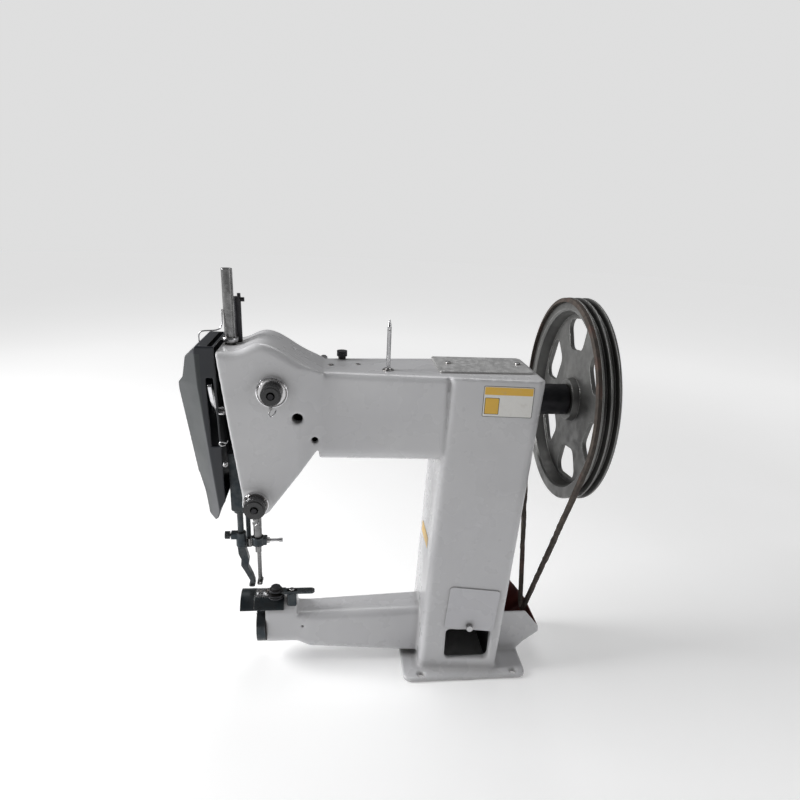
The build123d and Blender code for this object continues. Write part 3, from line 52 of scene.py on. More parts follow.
# ---------------------------------------------------------------- node helpers
class Nodes:
    """Builds one procedural material in object coordinates, the shared frame in metres."""

    def __init__(self, name, color, roughness, metallic=0.0, specular=0.5, coat=0.0,
                 coat_rough=0.1):
        self.material = bpy.data.materials.new(name)
        self.material.use_nodes = True
        self.tree = self.material.node_tree
        self.shader = self.tree.nodes["Principled BSDF"]
        self.shader.inputs["Base Color"].default_value = (*color, 1)
        self.shader.inputs["Roughness"].default_value = roughness
        self.shader.inputs["Metallic"].default_value = metallic
        self.shader.inputs["Specular IOR Level"].default_value = specular
        self.shader.inputs["Coat Weight"].default_value = coat
        self.shader.inputs["Coat Roughness"].default_value = coat_rough
        self.where = self.node("ShaderNodeTexCoord").outputs["Object"]
        self.color = None
        self.normal = None
        self.base = color

    def node(self, kind, **values):
        made = self.tree.nodes.new(kind)
        for key, value in values.items():
            setattr(made, key, value)
        return made

    def link(self, output, socket):
        self.tree.links.new(output, socket)

    def scaled(self, scale):
        """Object coordinates stretched along each axis."""
        mapping = self.node("ShaderNodeMapping")
        mapping.inputs["Scale"].default_value = scale
        self.link(self.where, mapping.inputs["Vector"])
        return mapping.outputs["Vector"]

    def noise(self, scale, detail=3.0, rough=0.55, stretch=None):
        made = self.node("ShaderNodeTexNoise")
        made.inputs["Scale"].default_value = scale
        made.inputs["Detail"].default_value = detail
        made.inputs["Roughness"].default_value = rough
        self.link(self.scaled(stretch) if stretch else self.where, made.inputs["Vector"])
        return made.outputs["Fac"]

    def ramp(self, value, low, high, to_low=0.0, to_high=1.0):
        made = self.node("ShaderNodeMapRange", interpolation_type="SMOOTHSTEP")
        for key, number in (("From Min", low), ("From Max", high),
                            ("To Min", to_low), ("To Max", to_high)):
            made.inputs[key].default_value = number
        self.link(value, made.inputs["Value"])
        return made.outputs["Result"]

    def math(self, operation, first, second):
        made = self.node("ShaderNodeMath", operation=operation)
        for socket, value in zip(made.inputs, (first, second)):
            if isinstance(value, (int, float)):
                socket.default_value = value
            else:
                self.link(value, socket)
        return made.outputs[0]

    def tint(self, factor, color):
        """Blends a colour over what is there already, where factor is high."""
        made = self.node("ShaderNodeMix", data_type="RGBA")
        self.link(factor, made.inputs["Factor"])
        if self.color is None:
            made.inputs[6].default_value = (*self.base, 1)
        else:
            self.link(self.color, made.inputs[6])
        made.inputs[7].default_value = (*color, 1)
        self.color = made.outputs[2]

    def gloss(self, factor, low, high):
        """Roughness that wanders between two values."""
        self.link(self.ramp(factor, 0.3, 0.7, low, high), self.shader.inputs["Roughness"])

    def rounded(self, radius):
        """Softens the sharp edges of a part in its shading."""
        made = self.node("ShaderNodeBevel", samples=4)
        made.inputs["Radius"].default_value = radius
        self.normal = made.outputs["Normal"]

    def edge(self):
        """High on the rounded edges, where paint and oxide wear off, and where the handwheel gets a
        painted highlight.
        """
        geometry = self.node("ShaderNodeNewGeometry")
        dot = self.node("ShaderNodeVectorMath", operation="DOT_PRODUCT")
        self.link(self.normal, dot.inputs[0])
        self.link(geometry.outputs["Normal"], dot.inputs[1])
        return self.ramp(dot.outputs["Value"], 0.995, 0.90)

    def crease_shade(self, distance):
        """High in corners and hollows, where shade falls; it is the ambient occlusion."""
        made = self.node("ShaderNodeAmbientOcclusion", samples=4)
        made.inputs["Distance"].default_value = distance
        return self.ramp(made.outputs["AO"], 0.95, 0.55)

    def bump(self, height, strength, distance=0.001):
        made = self.node("ShaderNodeBump")
        made.inputs["Strength"].default_value = strength
        made.inputs["Distance"].default_value = distance
        self.link(height, made.inputs["Height"])
        if self.normal is not None:
            self.link(self.normal, made.inputs["Normal"])
        self.normal = made.outputs["Normal"]

    def ring_distance(self, centre_z):
        """Distance from an axis along X."""
        split = self.node("ShaderNodeSeparateXYZ")
        self.link(self.where, split.inputs[0])
        up = self.math("SUBTRACT", split.outputs["Z"], centre_z)
        squares = self.math("ADD", self.math("MULTIPLY", up, up),
                            self.math("MULTIPLY", split.outputs["Y"], split.outputs["Y"]))
        return self.math("SQRT", squares, 0.0)

    def done(self):
        if self.color is not None:
            self.link(self.color, self.shader.inputs["Base Color"])
        if self.normal is not None:
            self.link(self.normal, self.shader.inputs["Normal"])
        return self.material


def enamel(name, color, shade, grime_and_shade, roughness, coat=0.25, edge_radius=0.0):
    """Sprayed machine enamel: orange peel, slow tone changes, dirt blotches and painted shade in
    the corners.
    """
    n = Nodes(name, color, roughness, coat=coat, coat_rough=0.12)
    if edge_radius:
        n.rounded(edge_radius)
    n.tint(n.ramp(n.noise(5, 2), 0.3, 0.75), shade)
    n.tint(n.math("MULTIPLY", n.ramp(n.noise(30, 5, 0.7), 0.62, 0.85), 0.05), grime_and_shade)
    # painted shade: darker in the corners and hollows, from ambient occlusion
    n.tint(n.math("MULTIPLY", n.crease_shade(0.016), 0.5), grime_and_shade)
    n.gloss(n.noise(18, 3), roughness - 0.05, roughness + 0.08)
    n.bump(n.noise(420, 2), 0.09, 0.0005)
    n.bump(n.noise(22, 2), 0.05, 0.002)
    return n.done()


def metal(name, color, tone, grime_and_shade, roughness, metallic=1.0, stretch=(1, 1, 1), grain=900,
          edge_color=None, edge_radius=0.0005, bump=0.12, spots=0.5):
    """Machined or ground metal with a directional grain, worn edges, dirt spots and painted shade
    in the corners.
    """
    n = Nodes(name, color, roughness, metallic=metallic)
    n.rounded(edge_radius)
    n.tint(n.ramp(n.noise(60, 4), 0.35, 0.72), tone)
    n.tint(n.math("MULTIPLY", n.ramp(n.noise(240, 5, 0.7), 0.52, 0.78), spots), grime_and_shade)
    # painted shade: darker in the corners and hollows, from ambient occlusion
    n.tint(n.math("MULTIPLY", n.crease_shade(0.006), 0.6), grime_and_shade)
    if edge_color:
        n.tint(n.math("MULTIPLY", n.edge(), n.ramp(n.noise(300, 3), 0.35, 0.6)), edge_color)
    n.gloss(n.noise(120, 4), max(0.04, roughness - 0.07), roughness + 0.12)
    n.bump(n.noise(grain, 2, stretch=stretch), bump, 0.0002)
    return n.done()


RINGS_PER_METRE = 5200.0             # tool marks on the wheel, in radians
GLOW_NEAR, GLOW_FAR = 0.7, 3.0      # the floor's glow grows from here to there
COVERED_RADIUS = 0.090              # the base plate hides the floor this far out


def make_materials():
    made = {}
    made["body_paint"] = enamel("body_paint", (0.56, 0.56, 0.575), (0.61, 0.61, 0.62),
                                (0.22, 0.21, 0.20), 0.27)
    made["door_paint"] = enamel("door_paint", (0.55, 0.55, 0.575), (0.60, 0.60, 0.615),
                                (0.22, 0.21, 0.20), 0.28, edge_radius=0.0006)
    made["cover_paint"] = enamel("cover_paint", (0.020, 0.024, 0.026), (0.028, 0.033, 0.035),
                                 (0.05, 0.05, 0.048), 0.42, coat=0.06)
    # a darker copy of the cover paint: painted shade on the faces toward the head and on the top
    made["cover_dark"] = enamel("cover_dark", (0.008, 0.010, 0.015), (0.013, 0.016, 0.022),
                                (0.03, 0.03, 0.03), 0.35, coat=0.1)
    # near black inside the hollows: painted shade
    made["inner_paint"] = enamel("inner_paint", (0.030, 0.030, 0.034), (0.055, 0.055, 0.060),
                                 (0.05, 0.035, 0.02), 0.6, coat=0.0)
    made["duct_inner"] = enamel("duct_inner", (0.10, 0.022, 0.018), (0.15, 0.035, 0.028),
                                (0.03, 0.02, 0.02), 0.5, coat=0.0)
    made["dark_steel"] = metal("dark_steel", (0.060, 0.066, 0.070), (0.035, 0.045, 0.052),
                               (0.03, 0.02, 0.012), 0.34, metallic=0.85,
                               edge_color=(0.34, 0.34, 0.34), edge_radius=0.0007)
    made["bright_steel"] = metal("bright_steel", (0.50, 0.50, 0.51), (0.40, 0.40, 0.41),
                                 (0.20, 0.17, 0.14), 0.20, stretch=(1, 1, 0.05), bump=0.05,
                                 spots=0.12)
    made["worn_steel"] = metal("worn_steel", (0.25, 0.25, 0.25), (0.17, 0.17, 0.17),
                               (0.05, 0.045, 0.04), 0.24, stretch=(1, 1, 0.05), bump=0.06,
                               spots=0.35, edge_color=(0.55, 0.55, 0.55))
    made["chrome"] = metal("chrome", (0.78, 0.78, 0.80), (0.70, 0.70, 0.72), (0.30, 0.28, 0.26),
                           0.10, grain=400, bump=0.03, spots=0.15)
    made["black_oxide"] = metal("black_oxide", (0.022, 0.022, 0.026), (0.035, 0.034, 0.038),
                                (0.02, 0.015, 0.01), 0.40, metallic=0.6,
                                edge_color=(0.16, 0.16, 0.17))
    made["bronze"] = metal("bronze", (0.42, 0.29, 0.13), (0.33, 0.22, 0.10), (0.10, 0.06, 0.03),
                           0.30)
    made["panel_metal"] = metal("panel_metal", (0.50, 0.50, 0.50), (0.58, 0.58, 0.58),
                                (0.30, 0.28, 0.26), 0.36, metallic=0.55, stretch=(0.04, 1, 1),
                                edge_color=(0.75, 0.75, 0.75))
    # the handwheel: turned rings about the shaft, painted shade in its hollows, and bright edges
    # that are partly edge wear and partly a painted highlight
    n = Nodes("machined_iron", (0.115, 0.115, 0.112), 0.36, metallic=0.6)
    n.rounded(0.0009)
    n.tint(n.ramp(n.noise(22, 4), 0.35, 0.7), (0.165, 0.165, 0.160))
    # painted shade in the corners and hollows, from ambient occlusion
    n.tint(n.math("MULTIPLY", n.crease_shade(0.010), 0.7), (0.025, 0.023, 0.02))
    # bright edges: edge wear and a painted highlight
    n.tint(n.math("MULTIPLY", n.edge(), 0.8), (0.48, 0.48, 0.47))
    n.gloss(n.noise(70, 4), 0.34, 0.52)
    rings = n.math("SINE", n.math("MULTIPLY", n.ring_distance(SHAFT_Z), RINGS_PER_METRE), 0.0)
    n.bump(rings, 0.12, 0.0002)
    n.bump(n.noise(420, 3), 0.10, 0.0004)
    made["machined_iron"] = n.done()
    n = Nodes("black_knob", (0.014, 0.014, 0.016), 0.26, coat=0.3, coat_rough=0.1)
    n.rounded(0.0006)
    n.tint(n.ramp(n.noise(180, 4), 0.5, 0.75), (0.028, 0.028, 0.03))
    n.tint(n.math("MULTIPLY", n.crease_shade(0.002), 0.3), (0.05, 0.048, 0.045))
    n.gloss(n.noise(150, 3), 0.20, 0.38)
    n.bump(n.noise(700, 2), 0.06, 0.0002)
    made["black_knob"] = n.done()
    n = Nodes("belt_rubber", (0.040, 0.033, 0.028), 0.78, specular=0.35)
    n.tint(n.ramp(n.noise(90, 5, 0.7), 0.4, 0.7), (0.075, 0.060, 0.050))
    n.tint(n.math("MULTIPLY", n.ramp(n.noise(26, 3), 0.55, 0.7), 0.5), (0.10, 0.05, 0.04))
    weave = n.node("ShaderNodeTexWave", wave_type="BANDS", bands_direction="DIAGONAL")
    weave.inputs["Scale"].default_value = 480
    weave.inputs["Distortion"].default_value = 2.0
    n.link(n.where, weave.inputs["Vector"])
    n.bump(weave.outputs["Fac"], 0.35, 0.0004)
    n.bump(n.noise(260, 4), 0.3, 0.0006)
    made["belt_rubber"] = n.done()
    for key, color in (("label", (0.80, 0.79, 0.76)), ("label_band", (0.78, 0.47, 0.06)),
                       ("label_line", (0.05, 0.05, 0.05))):
        n = Nodes(key, color, 0.42, coat=0.2, coat_rough=0.2)
        n.tint(n.math("MULTIPLY", n.ramp(n.noise(120, 4), 0.5, 0.8), 0.2), (0.45, 0.40, 0.33))
        n.bump(n.noise(220, 2), 0.05, 0.0003)
        made[key] = n.done()
    n = Nodes("floor", (0.80, 0.80, 0.80), 0.55)
    n.tint(n.ramp(n.noise(2.2, 3), 0.3, 0.8), (0.83, 0.83, 0.835))
    n.bump(n.noise(60, 3), 0.04, 0.001)
    n.shader.inputs["Emission Color"].default_value = (1, 1, 1, 1)
    away = n.node("ShaderNodeVectorMath", operation="LENGTH")
    n.link(n.where, away.inputs[0])
    # no glow under the base, so that the column stays dark inside
    uncovered = n.math("GREATER_THAN", away.outputs["Value"], COVERED_RADIUS)
    glow = n.math("MULTIPLY", n.ramp(away.outputs["Value"], GLOW_NEAR, GLOW_FAR, 0.26, 0.62),
                  uncovered)
    n.link(glow, n.shader.inputs["Emission Strength"])
    made["floor"] = n.done()
    return made


MATERIALS = make_materials()


# ---------------------------------------------------------------- mesh helpers
def set_material(obj, key):
    obj.data.materials.clear()
    obj.data.materials.append(MATERIALS[key])


def adopt(obj, body):
    """Gives a finished piece its CAD body."""
    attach(obj, body)
    return obj


def object_from(name, bm, key, smooth=40.0):
    mesh = bpy.data.meshes.new(name)
    bm.normal_update()
    bm.to_mesh(mesh)
    bm.free()
    obj = bpy.data.objects.new(name, mesh)
    bpy.context.scene.collection.objects.link(obj)
    set_material(obj, key)
    for face in mesh.polygons:
        face.use_smooth = True
    mesh.set_sharp_from_angle(angle=math.radians(smooth))
    return obj


def cast_copy(name, node_names, voxel, rounds):
    """One cast skin over copies of CAD nodes, with soft painted edges."""
    bm = bmesh.new()
    for node_name in node_names:
        bm.from_mesh(frame["nodes"][node_name].data)
    bmesh.ops.remove_doubles(bm, verts=bm.verts, dist=1e-6)
    obj = object_from(name, bm, "body_paint")
    remesh = obj.modifiers.new("skin", "REMESH")
    remesh.mode = "VOXEL"
    remesh.voxel_size = voxel
    remesh.use_smooth_shade = True
    soften = obj.modifiers.new("soften", "SMOOTH")
    soften.factor = 0.5
    soften.iterations = rounds
    graph = bpy.context.evaluated_depsgraph_get()
    mesh = bpy.data.meshes.new_from_object(obj.evaluated_get(graph))
    obj.modifiers.clear()
    obj.data = mesh
    for face in mesh.polygons:
        face.use_smooth = True
    return obj


def ring_sections(path, section_at, closed):
    """Skins a tube of cross-sections along a path of points."""
    bm = bmesh.new()
    loops = []
    for index in range(len(path)):
        loops.append([bm.verts.new(p) for p in section_at(index)])
    count = len(loops[0])
    last = len(loops) if closed else len(loops) - 1
    for i in range(last):
        a, b = loops[i], loops[(i + 1) % len(loops)]
        for k in range(count):
            bm.faces.new((a[k], a[(k + 1) % count], b[(k + 1) % count], b[k]))
    if not closed:
        bm.faces.new(reversed(loops[0]))
        bm.faces.new(loops[-1])
    bmesh.ops.recalc_face_normals(bm, faces=bm.faces)
    return bm


def circle_of(centre, u, v, radius, sides):
    """Points round a centre, in the plane of u and v."""
    steps = [2 * math.pi * k / sides for k in range(sides)]
    return [centre + (u * math.cos(a) + v * math.sin(a)) * radius for a in steps]


def tangents_of(path, closed):
    found = []
    for i, point in enumerate(path):
        before = path[i - 1] if i or closed else point
        after = path[(i + 1) % len(path)] if i < len(path) - 1 or closed else point
        found.append((after - before).normalized())
    return found


def wire(name, points, radius, key, body, closed=False, steps=8, sides=10):
    """A bent round wire through the points, smoothed by a spline."""
    points = [Vector(p) for p in points]
    path = []
    spans = len(points) if closed else len(points) - 1
    for i in range(spans):
        p0 = points[i - 1] if i or closed else points[0]
        p1, p2 = points[i], points[(i + 1) % len(points)]
        p3 = points[(i + 2) % len(points)] if closed or i + 2 < len(points) else p2
        for s in range(steps):
            t = s / steps
            path.append(0.5 * ((2 * p1) + (p2 - p0) * t + (2 * p0 - 5 * p1 + 4 * p2 - p3) * t * t
                               + (3 * p1 - p0 - 3 * p2 + p3) * t ** 3))
    if not closed:
        path.append(points[-1])
    along = tangents_of(path, closed)
    side = along[0].orthogonal().normalized()
    frames = []
    for direction in along:
        side = (side - direction * side.dot(direction)).normalized()
        frames.append((side, direction.cross(side)))

    def section(i):
        return circle_of(path[i], *frames[i], radius, sides)

    return adopt(object_from(name, ring_sections(path, section, closed), key, 60), body)


def turned(name, base, axis, profile, key, body, sides=40, slot_cut=0.0):
    """A turned piece: (distance along the axis, radius) pairs about an axis, closed at its ends."""
    axis = Vector(axis).normalized()
    u = axis.orthogonal().normalized()
    v = axis.cross(u)
    base = Vector(base)
    path = [base + axis * d for d, _ in profile]

    def section(i):
        return circle_of(path[i], u, v, max(profile[i][1], 1e-5), sides)

    obj = object_from(name, ring_sections(path, section, False), key, 35)
    if slot_cut:
        cutter = bmesh.new()
        bmesh.ops.create_cube(cutter, size=1.0)
        facing = axis.to_track_quat("Z", "Y").to_matrix().to_4x4()
        blade = Matrix.Diagonal((0.03, 0.0011, slot_cut * 2, 1))
        turn = Matrix.Rotation(0.6, 4, "Z")
        cutter.transform(Matrix.Translation(path[-1]) @ facing @ turn @ blade)
        knife = object_from(name + "_knife", cutter, key)
        cut = obj.modifiers.new("slot", "BOOLEAN")
        cut.object = knife
        cut.solver = "EXACT"
        graph = bpy.context.evaluated_depsgraph_get()
        mesh = bpy.data.meshes.new_from_object(obj.evaluated_get(graph))
        obj.modifiers.clear()
        obj.data = mesh
        bpy.data.objects.remove(knife)
    return adopt(obj, body)


def middle(node):
    low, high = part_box(node)
    return (low + high) / 2


# ---------------------------------------------------------------- cast body
# low and high corners of the hollows, just past their walls
HOLLOWS = [((-0.0690, -0.0600, -0.0100), (0.0430, 0.0600, 0.3970)),     # column
           ((-0.0660, -0.0600, 0.3930), (0.0600, 0.0600, 0.5325)),      # top of the column
           ((-0.4400, -0.0455, 0.3380), (-0.3105, 0.0455, 0.5480)),     # sewing head
           ((-0.3150, -0.0425, 0.4215), (-0.0600, 0.0425, 0.5305)),     # upper arm
           ((-0.3170, -0.0200, 0.0470), (-0.0600, 0.0240, 0.0950)),     # lower arm
           ((-0.0485, -0.0250, 0.5290), (0.0470, 0.0450, 0.5500))]      # under the top cover
COLUMN_RIGHT_X = 0.062
DUCT_WALL = 0.0015
DUCT_TOP_Z = 0.15
DUCT_MIDDLE = Vector((0.098, 0.025, 0.10))


def in_box(place, low, high):
    return all(a < c < b for a, c, b in zip(low, place, high))


def paint_shell(shell):
    """Near black inside the hollows as painted shade, dark red inside the belt chute, enamel
    outside.
    """
    for key in ("inner_paint", "duct_inner"):
        shell.data.materials.append(MATERIALS[key])
    duct_low, duct_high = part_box("belt_duct")
    chute_low = (max(duct_low.x + DUCT_WALL, COLUMN_RIGHT_X), duct_low.y + DUCT_WALL,
                 duct_low.z - 0.01)
    chute_high = (duct_high.x - DUCT_WALL, duct_high.y - DUCT_WALL, min(duct_high.z, DUCT_TOP_Z))
    for face in shell.data.polygons:
        place = face.center
        toward = DUCT_MIDDLE - place
        if any(in_box(place, low, high) for low, high in HOLLOWS):
            face.material_index = 1
        elif (in_box(place, chute_low, chute_high)
              and toward.dot(face.normal) > 0.25 * toward.length):
            face.material_index = 2


# voxel sizes: coarse for the castings, fine for the feet
shell = cast_copy("cast_body", ["base_column", "arm_casting", "cylinder_arm", "belt_duct"],
                  0.0021, 7)
paint_shell(shell)
adopt(shell, FRAME_BODY)
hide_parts("base_column", "arm_casting", "cylinder_arm", "belt_duct")

cover = cast_copy("face_cover_skin", ["face_cover"], 0.0012, 5)
set_material(cover, "cover_paint")
cover.data.materials.append(MATERIALS["cover_dark"])
COVER_SHADE_X = -0.427               # the strip beside the head, the top and the faces turned to the head get the darker copy of the paint as painted shade
COVER_TOP_X, COVER_TOP_Z = -0.440, 0.566
for cover_face in cover.data.polygons:
    place = cover_face.center
    on_top = place.z > COVER_TOP_Z and place.x > COVER_TOP_X
    if place.x > COVER_SHADE_X or on_top or cover_face.normal.x > 0.5:
        cover_face.material_index = 1
adopt(cover, FRAME_BODY)
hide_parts("face_cover")

for piece_name, node_name, body, finish, slot_name in (
        ("walking_foot", "vibrating_foot", "vibrator", "worn_steel", "bright_steel"),
        ("outer_foot", "presser_foot", "presser", "dark_steel", "dark_steel")):
    foot = cast_copy(piece_name, [node_name], 0.0005, 6)
    set_material(foot, finish)
    adopt(foot, body)
    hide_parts(node_name)


# ---------------------------------------------------------------- CAD nodes keep their shapes
FINISHES = {"service_door": "door_paint", "tension_studs": "black_oxide",
            "needle_bar": "worn_steel", "presser_tube": "worn_steel", "needle": "worn_steel"}
slot_of = {p["node"]: p["material_slot"] for p in frame["record"]["subparts"]}
for node_name, obj in frame["nodes"].items():
    slot_name = slot_of[node_name]
    key = FINISHES.get(node_name, slot_name)
    if key in MATERIALS:
        set_material(obj, key)
    for face in obj.data.polygons:
        face.use_smooth = True


# ---------------------------------------------------------------- drive belt
BIGHT_X, BIGHT_Y = 0.129, 0.044     # middle of the loop's low end, inside the chute
BIGHT_RADIUS = 0.013
WHEEL_STEPS, RUN_STEPS, BIGHT_STEPS = 150, 90, 12


def belt_piece():
    """An old V belt, a little lumpy and twisted, round the wheel and down into the chute."""
    wheel_low, wheel_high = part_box("handwheel")
    belt_low, belt_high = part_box("drive_belt")
    wheel_x = belt_low.x + 0.0047
    radius = (wheel_high.z - wheel_low.z) / 2 - 0.0036
    bight_z = belt_low.z + BIGHT_RADIUS + 0.0033
    reach = math.hypot(BIGHT_Y, SHAFT_Z - bight_z)
    lean = math.atan2(bight_z - SHAFT_Z, BIGHT_Y)
    spread = math.acos((radius - BIGHT_RADIUS) / reach)
    front, back = lean - spread, lean + spread
    points = []
    for i in range(WHEEL_STEPS):
        angle = back + (2 * math.pi + front - back) * i / WHEEL_STEPS
        points.append((wheel_x, radius * math.cos(angle), SHAFT_Z + radius * math.sin(angle), 0.0))

    def spot(angle, r, x, y, z):
        return Vector((x, y + r * math.cos(angle), z + r * math.sin(angle)))

    for angle, down in ((front, True), (back, False)):
        top = spot(angle, radius, wheel_x, 0, SHAFT_Z)
        low = spot(angle, BIGHT_RADIUS, BIGHT_X, BIGHT_Y, bight_z)
        ends = (top, low) if down else (low, top)
        for i in range(RUN_STEPS):
            t = i / RUN_STEPS
            points.append((*ends[0].lerp(ends[1], t), math.sin(math.pi * t)))
        if down:
            for i in range(BIGHT_STEPS):
                turn = front + (back - front) * i / BIGHT_STEPS
                points.append((*spot(turn, BIGHT_RADIUS, BIGHT_X, BIGHT_Y, bight_z), 0.0))
    path = [Vector(p[:3]) for p in points]
    loose = [p[3] for p in points]
    along = tangents_of(path, True)
    half_width, half_inner, half = 0.0045, 0.0030, 0.0031
    outline = [(-half_width, half), (-half_width * 0.4, half * 1.02),
               (half_width * 0.4, half * 1.02), (half_width, half),
               (half_inner * 1.1, -half * 0.5), (half_inner, -half), (0, -half * 1.03),
               (-half_inner, -half), (-half_inner * 1.1, -half * 0.5)]

    def section(i):
        direction = along[i]
        across = Vector((1, 0, 0))
        across = (across - direction * across.dot(direction)).normalized()
        out = across.cross(direction)
        free = loose[i]
        wobble = noise.noise(path[i] * 38.0) * 0.9 * free
        lump = 1.0 + free * 0.16 * noise.noise(path[i] * 95.0)
        shift = out * 0.0012 * free * noise.noise(path[i] * 24.0 + Vector((5, 1, 2)))
        c, s = math.cos(wobble), math.sin(wobble)
        return [path[i] + shift + (across * (x * c - y * s) + out * (x * s + y * c)) * lump
                for x, y in outline]

    obj = object_from("v_belt", ring_sections(path, section, True), "belt_rubber", 50)
    adopt(obj, FRAME_BODY)
    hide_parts("drive_belt")


belt_piece()


# ---------------------------------------------------------------- labels
def label_pieces():
    """Blank generic labels: an amber band over a pale field, and a small amber strip."""
    corners = [v.co.copy() for v in frame["nodes"]["label_plates"].data.vertices]
    front = [p for p in corners if p.y < -0.05]
    side = [p for p in corners if p.x < -0.07 and p.y > -0.05]
    left, right = min(p.x for p in front), max(p.x for p in front)
    bottom, top = min(p.z for p in front), max(p.z for p in front)
    outer = min(front, key=lambda p: p.y)
    corner, beside, above = [min(front, key=lambda p: (p - Vector((x, outer.y, z))).length)
                             for x, z in ((left, bottom), (right, bottom), (left, top))]
    normal = (beside - corner).cross(above - corner).normalized()
    if normal.y > 0:
        normal = -normal
    surface = max(p.dot(normal) for p in front)

    def at(x, z, lift=0.0):
        y = (surface + lift - x * normal.x - z * normal.z) / normal.y
        return Vector((x, y, z))

    def patch(name, x0, x1, z0, z1, key, lift, radius=0.0012):
        bm = bmesh.new()
        ring = []
        for cx, cz, start in ((x1 - radius, z1 - radius, 0), (x0 + radius, z1 - radius, 90),
                              (x0 + radius, z0 + radius, 180), (x1 - radius, z0 + radius, 270)):
            for step in range(5):
                angle = math.radians(start + 22.5 * step)
                place = at(cx + radius * math.cos(angle), cz + radius * math.sin(angle), lift)
                ring.append(bm.verts.new(place))
        bm.faces.new(ring)
        low = [bm.verts.new(v.co - normal * 0.00025) for v in ring]
        for i in range(len(ring)):
            j = (i + 1) % len(ring)
            bm.faces.new((ring[i], low[i], low[j], ring[j]))
        bmesh.ops.recalc_face_normals(bm, faces=bm.faces)
        obj = object_from(name, bm, key)
        return adopt(obj, FRAME_BODY)

    inset = 0.0008
    whole = patch("label_front_edge", left, right, bottom, top, "label_line", -0.00012, 0.002)
    patch("label_front_field", left + inset, right - inset, bottom + inset, top - inset,
          "label", -0.00006, 0.0016)
    patch("label_front_band", left + 0.0016, right - 0.0016, top - 0.0135, top - 0.0016,
          "label_band", 0.0)
    patch("label_front_frame", left + 0.0026, left + 0.0246, bottom + 0.0040, bottom + 0.0300,
          "label_line", -0.00003)
    patch("label_front_square", left + 0.0034, left + 0.0238, bottom + 0.0048, bottom + 0.0292,
          "label_band", 0.0)
    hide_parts("label_plates")
    y0, y1 = min(p.y for p in side), max(p.y for p in side)
    z0, z1 = min(p.z for p in side), max(p.z for p in side)
    bm = bmesh.new()
    outer_low = min(p.x for p in side if p.z < z0 + 0.003)
    outer_high = min(p.x for p in side if p.z > z1 - 0.003)
    quad = [bm.verts.new(p) for p in ((outer_low, y0, z0), (outer_low, y1, z0),
                                      (outer_high, y1, z1), (outer_high, y0, z1))]
    bm.faces.new(quad)
    back = [bm.verts.new(v.co + Vector((0.0003, 0, 0))) for v in quad]
    bm.faces.new(reversed(back))
    for i in range(4):
        j = (i + 1) % 4
        bm.faces.new((quad[i], back[i], back[j], quad[j]))
    bmesh.ops.recalc_face_normals(bm, faces=bm.faces)
    adopt(object_from("label_side", bm, "label_band"), FRAME_BODY)


label_pieces()


# ---------------------------------------------------------------- wire guides and small hardware
def coil_spring(name, base, axis, radius, wire_radius, length, turns, key, body):
    axis = Vector(axis).normalized()
    u = axis.orthogonal().normalized()
    v = axis.cross(u)
    points = []
    count = int(turns * 10)
    for i in range(count + 1):
        t = i / count
        angle = 2 * math.pi * turns * t
        around = (u * math.cos(angle) + v * math.sin(angle)) * radius
        points.append(Vector(base) + axis * (length * t) + around)
    return wire(name, points, wire_radius, key, body, steps=2, sides=8)


def tension_details():
    front_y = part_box("arm_casting")[0].y
    for side, knob in (("upper", "upper_tension_knob"), ("lower", "lower_tension_knob")):
        low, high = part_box(knob)
        centre = (low + high) / 2
        disc_y = high.y
        coil_spring(side + "_tension_spring", (centre.x, disc_y + 0.0006, centre.z), (0, 1, 0),
                    0.0072, 0.0006, 0.0014, 2.2, "chrome", FRAME_BODY)
        cup = 0.0232 if side == "upper" else 0.0200
        turned(side + "_tension_cup", (centre.x, disc_y + 0.0052, centre.z), (0, -1, 0),
               [(0.0001, cup - 0.0030), (0.0006, cup - 0.0008), (0.0018, cup),
                (0.0030, cup - 0.0004), (0.0037, cup - 0.0014), (0.0031, cup - 0.0026),
                (0.0016, cup - 0.0038), (0.0010, cup - 0.0060), (0.0004, cup - 0.0062)],
               "chrome", FRAME_BODY, sides=64)
        knob_radius = (high.x - low.x) / 2
        for step, share in enumerate((0.80, 0.56)):
            ridge = knob_radius * share
            turned(f"{side}_knob_ridge_{step}", (centre.x, low.y + 0.0001, centre.z), (0, 1, 0),
                   [(0.0, ridge - 0.0010), (0.0, ridge), (0.0024, ridge + 0.0006),
                    (0.0024, ridge - 0.0016)], "black_knob", side + "_knob", sides=48)
    upper = middle("upper_tension_knob")
    spring_low, spring_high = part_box("check_spring")
    y = (spring_low.y + spring_high.y) / 2
    x, z = upper.x, upper.z
    spring = wire("check_spring_wire",
                  [(x + 0.0052, y, z + 0.001), (x + 0.001, y, z + 0.0052),
                   (x - 0.0048, y, z + 0.001), (x - 0.001, y, z - 0.0050),
                   (x + 0.0035, y, z - 0.0052), (x + 0.0008, y, z - 0.0150),
                   (x + 0.0002, y, z - 0.0235), (x - 0.0015, y, z - 0.0272),
                   (x - 0.0042, y, z - 0.0278), (x - 0.0038, y, z - 0.0248)],
                  0.00070, "bright_steel", "check_spring", steps=6)
    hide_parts("check_spring")
    # hooked thread guides below each tension
    for name, tension in (("upper_hook", upper), ("lower_hook", middle("lower_tension_knob"))):
        x, z = tension.x, tension.z
        reach = 0.024 if name == "upper_hook" else 0.0205
        foot_z = z - reach
        wire(name, [(x + 0.006, front_y + 0.004, foot_z), (x + 0.006, front_y - 0.004, foot_z),
                    (x + 0.004, front_y - 0.008, foot_z - 0.003),
                    (x - 0.001, front_y - 0.008, foot_z - 0.006),
                    (x - 0.003, front_y - 0.007, foot_z - 0.002),
                    (x - 0.001, front_y - 0.006, foot_z + 0.001)],
             0.0009, "bright_steel", FRAME_BODY)


